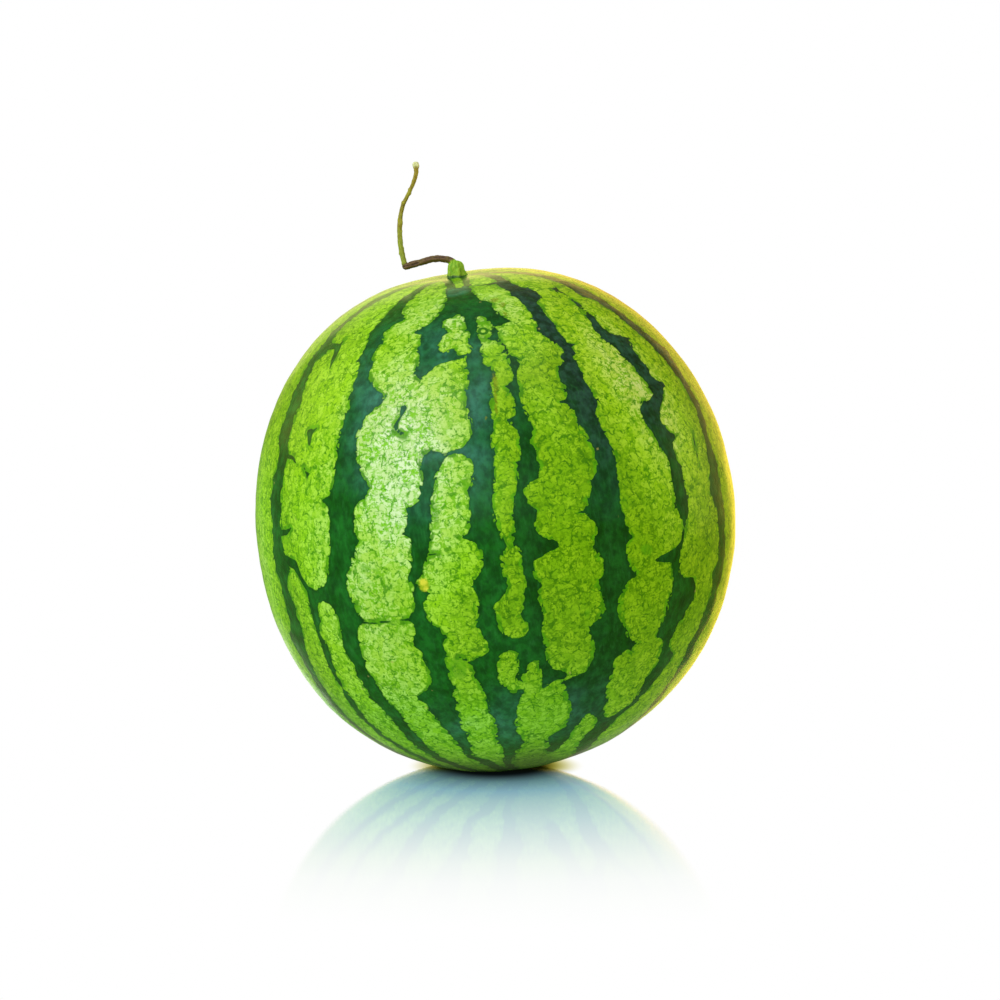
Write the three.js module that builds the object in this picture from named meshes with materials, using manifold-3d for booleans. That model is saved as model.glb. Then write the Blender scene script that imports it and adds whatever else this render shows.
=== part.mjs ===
// A whole round watermelon with its cut stalk, lying on its blossom end with the stem end up.
// Millimetres, +Z up. The origin is under the middle of the fruit, on the surface it rests on.
// The fruit grew as one piece and is one solid. The stalk, fleshy at its foot and dried to a
// wiry stem above, is the other.
import * as THREE from "three";
import { mergeVertices } from "three/addons/utils/BufferGeometryUtils.js";
import Module from "manifold-3d";

// ---- Driving dimensions of the fruit ----
const EQUATOR_RADIUS = 109.5;
const HALF_LENGTH = 116.7; // centre to either end along the fruit's own axis, before the hollows
const FULLNESS = 2.09; // exponent of the outline: 2 is an ellipse, more is squarer
const LEAN_LEFT = 9; // degrees that the stem end leans towards -X
const LEAN_FRONT = 4; // and towards -Y
const FLAT_DEPTH = 1.2; // how far the rind is flattened where it rests

// ---- Low relief of the rind ----
const CHEEKS = 0.007; // share of the radius: three faintly fuller cheeks
const SKEW = 0.0067; // share of the radius: fuller at the upper right and the lower left
const RIB_COUNT = 9;
const RIB_DEPTH = 0.45; // crest to trough at the equator
const STEM_SHOULDER = { depth: 3.6, reach: 40 };
const STEM_BASIN = { depth: 1.9, reach: 18 };
const BLOSSOM_DIMPLE = { depth: 1.3, reach: 7 };

// ---- The stalk ----
const NECK_RADIUS = 3.7;
const NECK_HEIGHT = 8.4;
const NECK_DEPTH = 3; // below the stem end, before the rind cuts it
const FLARE_HEIGHT = 6.5; // the foot widens below this
const SPUR_REACH = 4.4; // how far each spur of the foot runs out beyond the neck
const SPUR_COUNT = 5;
const NECK_FLUTE = 0.05; // share of the radius
const GAP = 0.3; // between the stalk's foot and the rind

// The dried stalk, in millimetres from the stem end: out of the neck, an arch that runs left ...
const ARCH_ROUTE = [
  [0.6, 0, 4.2],
  [-0.6, 0, 7.0],
  [-2.6, -0.1, 8.4],
  [-5.0, -0.3, 9.0],
  [-7.6, -0.6, 9.2],
  [-10.6, -1.0, 9.0],
  [-14.0, -1.6, 8.1],
  [-17.6, -2.2, 7.1],
  [-20.9, -2.6, 6.2],
  [-23.9, -2.7, 5.3],
];
// ... and, past a sharp kink, an upright that bows and ends in a small knob.
const UPRIGHT_ROUTE = [
  [-22.9, -2.7, 5.4],
  [-23.4, -2.3, 7.9],
  [-24.2, -1.5, 11.6],
  [-25.0, -0.4, 16.4],
  [-25.3, 0.8, 21.8],
  [-25.1, 1.8, 27.4],
  [-24.0, 2.6, 32.8],
  [-22.1, 3.0, 37.0],
  [-20.2, 3.3, 40.9],
  [-18.6, 3.7, 44.7],
  [-17.9, 4.2, 48.2],
  [-17.9, 4.6, 50.8],
  [-18.4, 4.9, 52.8],
];
// Radii as [share of the route, millimetres].
const ARCH_RADII = [
  [0, 1.9],
  [0.12, 1.6],
  [0.3, 1.42],
  [0.7, 1.42],
  [0.9, 1.5],
  [0.96, 1.35],
  [1, 0.6],
];
const UPRIGHT_RADII = [
  [0, 0.7],
  [0.04, 1.15],
  [0.15, 1.15],
  [0.4, 1.08],
  [0.55, 0.88],
  [0.72, 0.78],
  [0.85, 0.92],
  [0.93, 1.0],
  [0.965, 1.5],
  [0.985, 1.45],
  [1, 0.8],
];

// ---- Fineness of the solids ----
const MERIDIANS = 84;
const PARALLELS = 50;
const POLE_CROWDING = 0.24; // draws the parallels towards the two ends
const NECK_SIDES = 30;
const NECK_STEPS = 12;
const STALK_SIDES = 10;
const ARCH_RINGS = 36;
const UPRIGHT_RINGS = 56;
const MERGE_TOLERANCE = 1e-4;

const wasm = await Module();
wasm.setup();

const smoothstep = THREE.MathUtils.smoothstep;
const lerp = THREE.MathUtils.lerp;

/** A solid from a closed geometry. */
function solidFrom(geometry) {
  const bare = new THREE.BufferGeometry();
  bare.setAttribute("position", geometry.getAttribute("position"));
  bare.setIndex(geometry.index);
  const merged = mergeVertices(bare, MERGE_TOLERANCE);
  const corners = merged.index.array;
  const triangles = [];
  for (let i = 0; i < corners.length; i += 3) {
    const [a, b, c] = corners.slice(i, i + 3);
    if (a !== b && b !== c && c !== a) triangles.push(a, b, c);
  }
  return new wasm.Manifold(
    new wasm.Mesh({
      numProp: 3,
      vertProperties: merged.getAttribute("position").array,
      triVerts: new Uint32Array(triangles),
    }),
  );
}

/** A geometry from a solid. */
function geometryFrom(solid) {
  const mesh = solid.getMesh();
  const geometry = new THREE.BufferGeometry();
  geometry.setAttribute(
    "position",
    new THREE.BufferAttribute(mesh.vertProperties, 3),
  );
  geometry.setIndex(new THREE.BufferAttribute(mesh.triVerts, 1));
  geometry.computeVertexNormals();
  return geometry;
}

/** Moves each vertex of a geometry to the place that the function gives for it. */
function reshape(geometry, placeOf) {
  const position = geometry.getAttribute("position");
  const vertex = new THREE.Vector3();
  for (let i = 0; i < position.count; i++) {
    vertex.fromBufferAttribute(position, i);
    const place = placeOf(vertex);
    position.setXYZ(i, place.x, place.y, place.z);
  }
  return geometry;
}

// The turn that leans the fruit's own axis, which starts along +Z.
const lean = new THREE.Matrix4()
  .makeRotationY(-THREE.MathUtils.degToRad(LEAN_LEFT))
  .multiply(
    new THREE.Matrix4().makeRotationX(THREE.MathUtils.degToRad(LEAN_FRONT)),
  );

/** How deep a round hollow is at a distance from its middle. */
function hollow({ depth, reach }, distance) {
  return depth * Math.exp(-((distance / reach) ** 2));
}

/** Distance from the fruit's centre to the rind along a unit direction in the fruit's own frame. */
function rindRadius(direction) {
  const { x, y, z } = direction;
  const across = Math.hypot(x, y);
  const outline =
    ((across / EQUATOR_RADIUS) ** FULLNESS +
      (Math.abs(z) / HALF_LENGTH) ** FULLNESS) **
    (-1 / FULLNESS);
  const leaned = direction.clone().applyMatrix4(lean);
  const cheeks = CHEEKS * (leaned.x ** 3 - 3 * leaned.x * leaned.z ** 2);
  const skew = 2 * SKEW * leaned.x * leaned.z;
  const rib =
    (RIB_DEPTH / 2) * across ** 2 * Math.cos(RIB_COUNT * Math.atan2(x, -y));
  const fromEnd = HALF_LENGTH * Math.acos(Math.min(1, Math.abs(z)));
  const dip =
    z > 0
      ? hollow(STEM_SHOULDER, fromEnd) + hollow(STEM_BASIN, fromEnd)
      : hollow(BLOSSOM_DIMPLE, fromEnd);
  return outline * (1 + cheeks + skew) + rib - dip;
}

/** The fruit's rind as a closed solid about the fruit's centre, leaned, and grown outwards by skin. */
function rindSolid(skin = 0) {
  const ball = new THREE.SphereGeometry(1, MERIDIANS, PARALLELS);
  ball.rotateX(Math.PI / 2); // the ball's poles go from Y to Z
  reshape(ball, (vertex) => {
    const polar = Math.acos(THREE.MathUtils.clamp(vertex.z, -1, 1));
    const crowded = polar - POLE_CROWDING * Math.sin(2 * polar);
    const around = Math.atan2(vertex.y, vertex.x);
    const direction = new THREE.Vector3().setFromSphericalCoords(
      1,
      crowded,
      around,
    );
    // setFromSphericalCoords has its pole on Y: z, x and y of it are this frame's x, y and z
    const turned = new THREE.Vector3(direction.z, direction.x, direction.y);
    return turned
      .multiplyScalar(rindRadius(turned) + skin)
      .applyMatrix4(lean);
  });
  return solidFrom(ball);
}

/** The fruit: the rind's solid, flattened on the small spot it rests on. */
function makeFruit() {
  const rind = rindSolid();
  const lowest = rind.boundingBox().min[2];
  const restHeight = -(lowest + FLAT_DEPTH);
  const side = 2 * EQUATOR_RADIUS;
  const below = new THREE.BoxGeometry(side, side, side);
  below.translate(0, 0, -restHeight - side / 2);
  return { solid: rind.subtract(solidFrom(below)), restHeight };
}

/** Radius of the fleshy neck at a height above the stem end, in a direction around its axis. */
function neckRadius(height, around) {
  const flare = (1 - smoothstep(height, -1, FLARE_HEIGHT)) ** 1.6;
  const spur = (1 + Math.cos(SPUR_COUNT * around)) / 2;
  const round = Math.sqrt(Math.max(0, 1 - (height / NECK_HEIGHT) ** 6));
  const fluted =
    NECK_RADIUS * (1 + NECK_FLUTE * Math.cos(SPUR_COUNT * around));
  return (fluted + SPUR_REACH * flare * spur) * round;
}

/** The fleshy foot of the stalk, with its spurs, from below the rind up to its rounded top. */
function neckSolid() {
  const profile = [new THREE.Vector2(0, -NECK_DEPTH)];
  for (let i = 0; i < NECK_STEPS; i++) {
    profile.push(
      new THREE.Vector2(1, lerp(-NECK_DEPTH, NECK_HEIGHT, i / NECK_STEPS)),
    );
  }
  profile.push(new THREE.Vector2(0, NECK_HEIGHT));
  const neck = new THREE.LatheGeometry(profile, NECK_SIDES);
  neck.rotateX(Math.PI / 2); // the lathe's axis goes from Y to Z
  reshape(neck, ({ x, y, z }) => {
    const radius = neckRadius(z, Math.atan2(y, x));
    return new THREE.Vector3(x * radius, y * radius, z);
  });
  return solidFrom(neck);
}

/** Value at a share of the route, read off a list of [share, value] pairs. */
function along(pairs, share) {
  const next = Math.max(
    1,
    pairs.findIndex(([at]) => at >= share),
  );
  const [from, low] = pairs[next - 1];
  const [to, high] = pairs[next];
  return lerp(low, high, smoothstep(share, from, to));
}

/** A rod of the given radii along a route: a lathe whose rings are carried onto the route. */
function rodSolid(routePoints, radii, rings) {
  const route = new THREE.CatmullRomCurve3(
    routePoints.map((point) => new THREE.Vector3(...point)),
    false,
    "centripetal",
  );
  const frames = route.computeFrenetFrames(rings);
  const profile = [new THREE.Vector2(0, 0)];
  for (let ring = 0; ring <= rings; ring++) {
    profile.push(new THREE.Vector2(along(radii, ring / rings), ring));
  }
  profile.push(new THREE.Vector2(0, rings));
  const rod = new THREE.LatheGeometry(profile, STALK_SIDES);
  reshape(rod, (vertex) => {
    const ring = Math.round(vertex.y);
    return route
      .getPointAt(ring / rings)
      .addScaledVector(frames.binormals[ring], vertex.x)
      .addScaledVector(frames.normals[ring], vertex.z);
  });
  return solidFrom(rod);
}

/** The whole stalk about the stem end, its foot cut to the rind with a small gap. */
function makeStem(stemEnd) {
  const rind = rindSolid(GAP).translate(stemEnd.clone().negate().toArray());
  const arch = rodSolid(ARCH_ROUTE, ARCH_RADII, ARCH_RINGS);
  const upright = rodSolid(UPRIGHT_ROUTE, UPRIGHT_RADII, UPRIGHT_RINGS);
  return neckSolid().add(arch).add(upright).subtract(rind);
}

const stemDirection = new THREE.Vector3(0, 0, 1);
const stemEnd = stemDirection
  .clone()
  .multiplyScalar(rindRadius(stemDirection))
  .applyMatrix4(lean);

const fruitMade = makeFruit();
const fruit = new THREE.Mesh(
  geometryFrom(fruitMade.solid),
  new THREE.MeshStandardMaterial({
    color: 0x5fa52c,
    roughness: 0.42,
    metalness: 0,
  }),
);
fruit.name = "fruit";

const stem = new THREE.Mesh(
  geometryFrom(makeStem(stemEnd)),
  new THREE.MeshStandardMaterial({
    color: 0x7d8a34,
    roughness: 0.7,
    metalness: 0,
  }),
);
stem.name = "stem";
stem.position.copy(stemEnd);

// The fruit's middle goes over the origin and its flat spot on the surface.
const melon = new THREE.Group();
melon.add(fruit, stem);
const { min, max } = new THREE.Box3().setFromObject(fruit, true);
melon.position.set(
  -(min.x + max.x) / 2,
  -(min.y + max.y) / 2,
  fruitMade.restHeight,
);

const watermelon = new THREE.Group();
watermelon.name = "watermelon";
watermelon.add(melon);

export default watermelon;
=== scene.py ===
"""Watermelon: the fine rind with its stripes, and the stalk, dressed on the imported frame."""

import math

import bmesh
import bpy
import numpy as np
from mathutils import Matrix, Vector


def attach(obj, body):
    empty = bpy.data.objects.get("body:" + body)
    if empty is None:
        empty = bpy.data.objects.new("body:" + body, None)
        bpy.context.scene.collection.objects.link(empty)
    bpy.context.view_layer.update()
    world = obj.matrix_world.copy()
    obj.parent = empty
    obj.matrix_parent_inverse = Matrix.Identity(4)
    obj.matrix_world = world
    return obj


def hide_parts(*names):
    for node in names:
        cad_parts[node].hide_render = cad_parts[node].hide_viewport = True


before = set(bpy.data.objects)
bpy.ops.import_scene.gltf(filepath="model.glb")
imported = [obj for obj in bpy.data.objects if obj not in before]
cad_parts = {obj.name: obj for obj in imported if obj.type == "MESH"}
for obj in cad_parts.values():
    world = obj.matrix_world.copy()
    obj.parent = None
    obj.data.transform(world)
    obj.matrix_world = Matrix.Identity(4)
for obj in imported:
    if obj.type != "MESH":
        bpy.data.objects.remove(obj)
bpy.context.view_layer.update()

MM = 0.001

# ---------------------------------------------------------------- the fruit's form, in millimetres
EQUATOR_RADIUS = 109.5
HALF_LENGTH = 116.7
FULLNESS = 2.09
LEAN_LEFT, LEAN_FRONT = math.radians(9), math.radians(4)
CENTRE = np.array([-0.767, 0.223, 115.689])  # the fruit's middle in the row frame
CHEEKS, SKEW = 0.007, 0.0067
RIB_COUNT, RIB_DEPTH = 9, 0.45
STEM_SHOULDER, STEM_BASIN, BLOSSOM_DIMPLE = (3.6, 40), (0.8, 16), (1.3, 7)  # depth, reach

FACE_STEPS = 127  # quads along each side of the six patches that the rind's mesh is made of
MM_PER_DEGREE = math.radians(1) * 112  # of latitude, on the rind

# ---------------------------------------------------------------- the stripes
# A band or a light island is a list of (latitude, left longitude, right longitude) in degrees.
# Longitude 0 faces -Y and grows towards +X; latitude 90 is the stem end. A stroke is a list of
# (latitude, longitude, half-width in millimetres).
BANDS = {
    "far_left": [
        (88, -84, -60), (80, -78, -62), (72, -75, -64), (66, -71, -66), (62, -71, -65.5),
        (58, -72, -65), (56, -70.5, -64), (54, -70, -62), (52, -70.5, -62), (50, -70, -64.5),
        (47, -69, -63.5), (45, -69, -63), (42, -68.5, -61), (40, -67.5, -60), (36, -67.5, -60.8),
        (34, -67, -60.5), (30, -66, -60), (28, -64.5, -59.5), (26, -64, -59), (22, -65.2, -59.7),
        (17, -66, -60), (12, -65, -60), (8, -64.8, -60), (5, -65.5, -59), (3, -65.2, -57),
        (0, -64.8, -57.5), (-1, -64.5, -58.5), (-3, -63.7, -60), (-8, -63.3, -58.7),
        (-12, -63.2, -58.3), (-14, -64.5, -58), (-16, -66.5, -58.7), (-18, -67.5, -59.5),
        (-22, -66, -61.5), (-28, -66.5, -62), (-33, -67.8, -62), (-40, -66, -62),
        (-50, -64.5, -60), (-62, -62, -57), (-75, -60, -54), (-88, -66, -50),
    ],
    "left_thread": [
        (-3, -50.8, -45), (-4, -51, -44), (-5, -51.2, -43), (-6.3, -51.3, -47.5),
        (-8, -51.4, -48.5), (-12, -51.5, -49.3), (-15, -51.3, -49.8), (-19, -52, -49.3),
        (-25, -52, -50.2), (-30, -52.3, -50.6), (-33, -52.8, -50.2), (-38, -52.8, -50.6),
        (-45, -52, -49.5), (-50, -50.3, -46.5), (-60, -48, -45), (-75, -46, -42),
    ],
    "left_wide": [
        (88, -56, -30), (80, -45, -33), (75, -42, -32), (70, -40.5, -31.5), (67, -39.5, -31),
        (65, -39, -30), (63, -39.8, -28), (62.4, -40, -25), (61, -40, -28), (60, -40, -30.5),
        (58, -40, -33.5), (55, -39.5, -32.7), (50, -38.8, -33), (47, -37.5, -32.5),
        (43, -37.2, -30), (42, -37, -28), (41, -37, -25.2), (39, -37, -25.5), (38, -37, -28.5),
        (37, -37.5, -29.8), (35, -38, -31.5), (33, -38, -32.5), (27, -38.2, -32),
        (25, -38.3, -31.2), (22, -38.5, -29.5), (20, -38.8, -28.2), (18.2, -40.2, -29.5),
        (17.8, -42, -29.8), (16.5, -41.2, -31.5), (15, -40, -32.5), (12, -40.1, -32.8),
        (9, -40.3, -32.8), (8, -40.4, -31.4), (7, -40.5, -33), (5, -41.2, -34), (3, -41.7, -34.8),
        (0, -42.6, -36.3), (-2, -44, -37), (-4, -45.5, -36.7), (-6, -45.2, -36), (-7, -42.8, -36),
        (-9, -42, -35.5), (-10.3, -41.8, -34.5), (-11.4, -41.8, -35.2), (-12, -41.9, -36.5),
        (-15, -42.3, -37.5), (-17, -43.2, -37.7), (-20, -42.6, -38), (-22, -42, -38.2),
        (-24, -42.4, -37.8), (-25, -43.5, -37.6), (-26, -42, -37.3), (-28, -41.2, -36.9),
        (-31, -42, -36.5), (-33, -40.5, -36.3), (-36, -39.8, -35.4), (-42, -39.6, -35),
        (-43, -39.5, -34), (-44, -39.4, -35), (-50, -39.5, -35.3), (-55, -38.7, -35),
        (-62, -37, -32), (-75, -34, -26), (-88, -40, -22),
    ],
    "crown": [
        (75.4, -8.4, -3), (74.6, -8.2, 0), (73.6, -8, 10.9), (72, -8, 11),
        (70, -6.5, 10.5), (68, -6.3, 11), (66, -7.3, 11.7), (65, -8, 13.3), (64, -8.2, 15.4),
        (63, -8.5, 16.6), (61, -10.5, 16.2), (60, -12, 16.5), (58.6, -15, 17), (58, -17, 17.5),
        (57.2, -18.5, 18.8), (56.2, -16, 19.7), (55.5, -15, 19), (55, -15, 13), (54, -15.5, 12.8),
        (52, -15.5, 13), (51, -15.4, 12.2), (50, -15.3, 6), (49, -15.2, 5.8), (48.2, -15.3, 5.6),
        (47.8, -15.5, 0), (47, -15.8, -8.5), (46, -16, -10), (45, -16, -12), (44, -15.7, -14.5),
    ],
    "crown_left": [(88, -66, -16), (84, -28, -5.5), (80, -14, -2.8), (76, -9, -1.7), (73, -8, 2)],
    "crown_right": [(88, 14, 56), (84, 11.5, 29), (80, 9, 18.5), (77, 7.2, 15), (73, 6, 11)],
    "left_centre": [
        (26.6, -13.2, -10), (25.4, -14.4, -8.2), (24, -14.2, -8.6), (22, -14.3, -10.3), (20, -14.4, -11.5),
        (18, -14.7, -12.3), (16, -15.6, -12.7), (14.5, -18.6, -13), (12, -19, -13.3),
        (10, -19.4, -13.5), (9, -20.7, -13.7), (8.3, -19.5, -13.8), (7.5, -18.2, -14), (6, -18.1, -14.3),
        (5, -18.4, -14.6), (3, -19, -15.5), (1.5, -19.4, -16.5), (0, -20.4, -16.5),
        (-0.7, -20.9, -17), (-2, -20, -18.6), (-3, -19.7, -18.6), (-4.5, -19.7, -17.4),
        (-5.2, -19.8, -16.2), (-6, -19.8, -18), (-8, -20.3, -18.2), (-9, -20.8, -18.1),
        (-10, -22, -18), (-10.8, -22.4, -17.8), (-12, -21.7, -17), (-14, -21.7, -15.3),
        (-16, -22.5, -14.7), (-17.7, -23.3, -15.6), (-18.4, -21.7, -15.7), (-20, -21, -15.9),
        (-22, -20.9, -16.2), (-25, -20.8, -16.4), (-27, -21.3, -16.1), (-28, -22, -15.9),
        (-29, -23, -16.2), (-30, -25.5, -16.5), (-31, -27, -16.8), (-32, -26.2, -16.9),
        (-33, -25, -17), (-35, -24.8, -17.3), (-38, -24.5, -18), (-40, -24.2, -18.6),
        (-42, -23.8, -18.2), (-45, -23.2, -17.8), (-48, -23, -19.2), (-50, -22.9, -19.6),
        (-52, -23.3, -20.8), (-54, -23.5, -21.5), (-56, -22.9, -20.2), (-57.5, -22.7, -17.4),
        (-60, -22, -16), (-70, -20, -14), (-80, -18, -8), (-88, -20, -4),
    ],
    "centre": [
        (50, 2, 5.6), (47, -0.3, 5.8), (45, 0.2, 6), (43.3, 0.4, 7.5), (42.5, 0.2, 8.8), (41, 0, 6.5),
        (40, -0.5, 6), (39, -1, 5.7), (37, -1.8, 5.4), (36, -1.5, 5.2), (33, -0.7, 4.7),
        (31, -0.7, 4.3), (29, -0.9, 3.9), (27.5, -2.2, 3.6), (26.5, -4, 3.4), (25.7, -7.6, 3.5),
        (25, -3.5, 3.6), (24, -2.4, 4), (22, -2, 3.2), (20, -2, 2.5), (18, -2.5, 2.2),
        (16, -3.8, 1.9), (14, -4, 1.2), (11, -4.3, 0.9), (9, -4.7, 0.9), (7.5, -5.3, 1),
        (6.4, -7, 1.5), (5.8, -4.8, 1.9), (5, -3.7, 2.3), (4, -3.3, 2.9), (3.2, -3, 3),
        (2.4, -3, 2), (1, -2.9, 1.3), (-1, -3.3, 1), (-3, -5.5, 1.1), (-5, -6.2, 1.8),
        (-6, -5.4, 1.2), (-8, -5.1, 0.4), (-9, -5.4, -1), (-10, -5.8, -2.4), (-12, -6.2, -2.1),
        (-14, -6.8, -1.9), (-16, -6, -1.6), (-17, -5.5, -1.1), (-18, -5.2, 0), (-18.6, -5.2, 6),
        (-20, -5.3, 6), (-21, -6, 6), (-22, -8, 6), (-22.5, -10.6, 6), (-24, -9.8, 6),
        (-25, -9.8, 4), (-26, -9.6, 3.5), (-27, -9.5, 3), (-28, -9, 1.9), (-30, -8.3, 1),
        (-32, -8.2, 0.9), (-33, -8.3, 1.3), (-34, -8.3, 0.3), (-36, -8.3, -0.3), (-38, -9.4, -1),
        (-40, -7.9, -1.8), (-42, -7.8, -2), (-46, -9, -2), (-49.5, -9.3, -1.5), (-50.2, -9, -0.4),
        (-51, -8.9, -0.2), (-52, -9, -1.8), (-54, -9.3, -4.2), (-58, -11, -7), (-62, -13, -9.5),
        (-70, -14, -8), (-80, -10, 2), (-88, -8, 10),
    ],
    "right_centre": [
        (56, 10.7, 13.4), (53, 10.5, 13), (51.6, 11.6, 13.2), (50, 12.9, 13.6), (48, 12.8, 14),
        (46, 13.5, 14.8), (45, 13.7, 16.3), (44, 13.5, 16), (42, 13, 15), (40, 12.7, 14),
        (39.2, 10.5, 13.3), (37, 11, 13.3), (36, 11.2, 13.6), (34, 11.2, 13.3), (32, 10.7, 13.3),
        (31, 8.8, 13.6), (30.3, 9.6, 13.8), (28, 10.2, 14), (26, 10.2, 13.2), (25, 10, 13),
        (23, 9.6, 13.5), (20, 8.7, 13.2), (17, 8.3, 13.3), (16.4, 8, 10.5), (15, 6.9, 8.8),
        (13, 6.5, 8.9), (11, 6.1, 9.7), (10, 6, 11), (8, 5.5, 10.2), (7, 5.3, 9.8), (6, 5.1, 10),
        (5, 4.9, 10.8), (4, 4, 11.5), (3, 4.6, 12.4), (2.2, 5.6, 14.5), (1, 6, 14.6),
        (0.5, 6.1, 12), (-0.4, 6.2, 10.2), (-1, 6.2, 8.3), (-3, 5.8, 7.5), (-5, 6.2, 8.2),
        (-6.7, 5.8, 9.5), (-8, 5, 8.4), (-10, 4.4, 7.8), (-12, 4.4, 8.5), (-14, 4.9, 8.9),
        (-17, 4.7, 8), (-18.6, 3.4, 8.1), (-20, 0, 8.1), (-22, 0, 8.1), (-24, 1.8, 8.7),
        (-25, 6.2, 8.5), (-26, 6.8, 8.5), (-27, 7, 8.8), (-28, 7, 10), (-29, 7, 12.5),
        (-30, 6.9, 13.3), (-30.8, 6.8, 14.2), (-31.4, 6.9, 7.8), (-33.4, 6.5, 7),
    ],
    "right_wide": [
        (88, 58, 88), (83, 50, 62), (79, 39, 53), (76, 36.5, 48), (73.7, 34, 44), (71, 30.5, 39),
        (69, 30, 39.5), (67, 30.6, 41), (65.5, 29.2, 43.5), (63, 30, 43), (61, 30, 41),
        (60.2, 30.5, 37), (59, 30.2, 36),
        (56, 29, 35), (53, 28.5, 34.9), (50, 28.2, 34.6), (48, 29.8, 34.5), (47, 30.8, 34.5),
        (46, 31, 34.8), (45.5, 31, 37), (45, 31, 34.8), (43, 30.4, 34), (41.6, 30, 33.2),
        (41, 27, 33.1), (39, 26, 33.2), (36, 26.4, 33), (34, 25.8, 33), (33.2, 25, 33.2),
        (32.7, 22.6, 33.3), (32, 25, 33.5), (30, 26, 34), (29.4, 26, 32.8), (28, 26.2, 31.8),
        (26, 26.8, 31.4), (25, 27.2, 31.5), (23, 27.7, 32.2), (20, 27.8, 32.8), (17, 27.6, 32.8),
        (15, 26.4, 32.5), (13, 25.4, 32), (11, 24.4, 31.7), (10, 23.4, 31.6), (8.4, 23.3, 31.3),
        (7.8, 20.4, 31.3), (7, 23, 31.5), (5, 23.9, 31.8), (3, 24.5, 31.8), (1, 23.8, 31.8),
        (-0.8, 22.8, 33), (-2, 23.6, 31), (-4, 24.6, 30.6), (-7, 24.4, 30.7), (-8.6, 23.4, 31.7),
        (-9.7, 22.4, 32.4), (-10.4, 22.6, 31), (-11, 22.8, 30.3), (-12, 23.3, 29.1),
        (-14, 23.8, 27.9), (-16, 23.5, 27), (-18, 22.6, 27.2), (-18.9, 19.9, 27.7),
        (-20, 19.7, 28.2), (-22, 20.5, 29.3), (-24, 21.2, 29.8), (-25.5, 21, 31.2),
        (-27, 20.9, 34), (-28, 20.8, 29), (-29, 20.3, 28), (-30, 19.6, 27), (-31, 19, 26.5),
        (-31.8, 12, 26.4), (-33, 12.3, 26.3), (-35, 12.9, 26.2), (-37, 13.3, 25.8),
        (-40, 14.8, 25.6), (-41.7, 14.8, 27.2), (-43, 14.8, 26.5), (-45, 14.4, 26.3),
        (-48, 13.5, 28), (-49.6, 9, 32), (-50.5, 7, 30), (-52, 7.5, 29), (-55, 8.3, 29),
        (-57, 7.6, 29), (-59, 8.5, 29), (-60.5, 14, 29), (-62, 22.5, 30), (-66, 24, 31),
        (-75, 26, 35), (-88, 30, 46),
    ],
    "right_thin": [
        (63, 55.4, 56.6), (59, 54.4, 55.4), (57, 53.6, 54.6), (54, 53, 54.4), (51.4, 51.6, 53.6),
        (49, 48.6, 52.7), (46, 48, 53), (45, 48, 54.5), (44, 49, 57.5), (43, 49.7, 60),
        (42, 50, 58.3), (40, 50.2, 57), (36, 52, 57.3), (33, 52.5, 56.8), (31, 52.8, 58),
        (29.6, 53, 60.6), (28.8, 52.8, 58), (28, 51.8, 57), (27, 46, 56), (26, 45, 54.5),
        (25, 45, 53), (24, 45.2, 51.8), (22, 45.7, 51), (20, 46.3, 52), (18, 47, 54.6),
        (17, 47.3, 52.3), (15, 48, 51.5), (13, 48.5, 51.6), (11, 48.2, 52.6), (8, 47.5, 52),
        (5, 47.8, 52), (2, 47.5, 51.6), (0.5, 48.3, 51), (-1, 48.8, 50), (-3, 48.3, 49.2),
        (-5, 47.4, 48.4), (-6.3, 46, 47.8), (-6.8, 43, 47.4), (-7.2, 38, 47), (-7.9, 38.4, 46.8),
        (-8.7, 41.6, 46.7), (-9.6, 43.8, 46.3), (-12, 44, 46), (-14, 44, 47.5), (-15, 43.8, 52),
        (-17, 43.5, 52.5), (-19, 42.4, 53), (-21, 42.4, 51.8), (-23, 41.3, 50), (-25, 40.4, 48),
        (-26.5, 39.3, 46.6), (-27.6, 42, 46), (-29, 43, 45.4), (-31, 42.6, 45.3), (-32.5, 42.3, 47),
        (-34, 42.3, 49.3), (-36, 41.2, 48), (-38, 39.4, 45.5), (-40, 39.3, 44.3),
        (-43, 38.9, 42.2), (-46, 37, 39.8), (-47.8, 32.5, 36.8), (-50, 26.6, 34.6), (-53, 25.5, 32.8),
        (-57, 24, 30.2), (-60, 26, 31), (-70, 28, 34), (-88, 34, 50),
    ],
    "far_right": [
        (88, 56, 84), (78, 64, 76), (70, 67, 78), (65, 67, 76), (62, 65, 75), (59, 64.6, 73.6),
        (57.5, 62.5, 73.2), (56, 66, 72.5), (50, 67, 72), (42, 67.4, 72), (38, 68.4, 74.5),
        (35.6, 68.4, 76.5), (34, 69, 74), (28, 69.6, 73.6), (20, 68.9, 72.6), (14, 67, 70),
        (11, 65.7, 70), (8, 65, 70), (6, 64, 69.5), (4, 62.8, 69.3), (3, 61.8, 69.5),
        (1, 63.5, 69.7), (-3, 65.3, 69.8), (-6, 64.5, 69.5), (-10, 65, 69), (-14, 64.5, 68.8),
        (-16, 61.8, 68.3), (-19, 62, 67.6), (-22, 62, 66), (-26, 60, 66.5), (-30, 59, 65),
        (-34, 56, 60.5), (-38, 56.5, 62), (-43, 56.5, 59), (-46, 54, 58), (-55, 53, 58),
        (-65, 52, 57), (-75, 51, 58), (-88, 52, 72),
    ],
}
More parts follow.
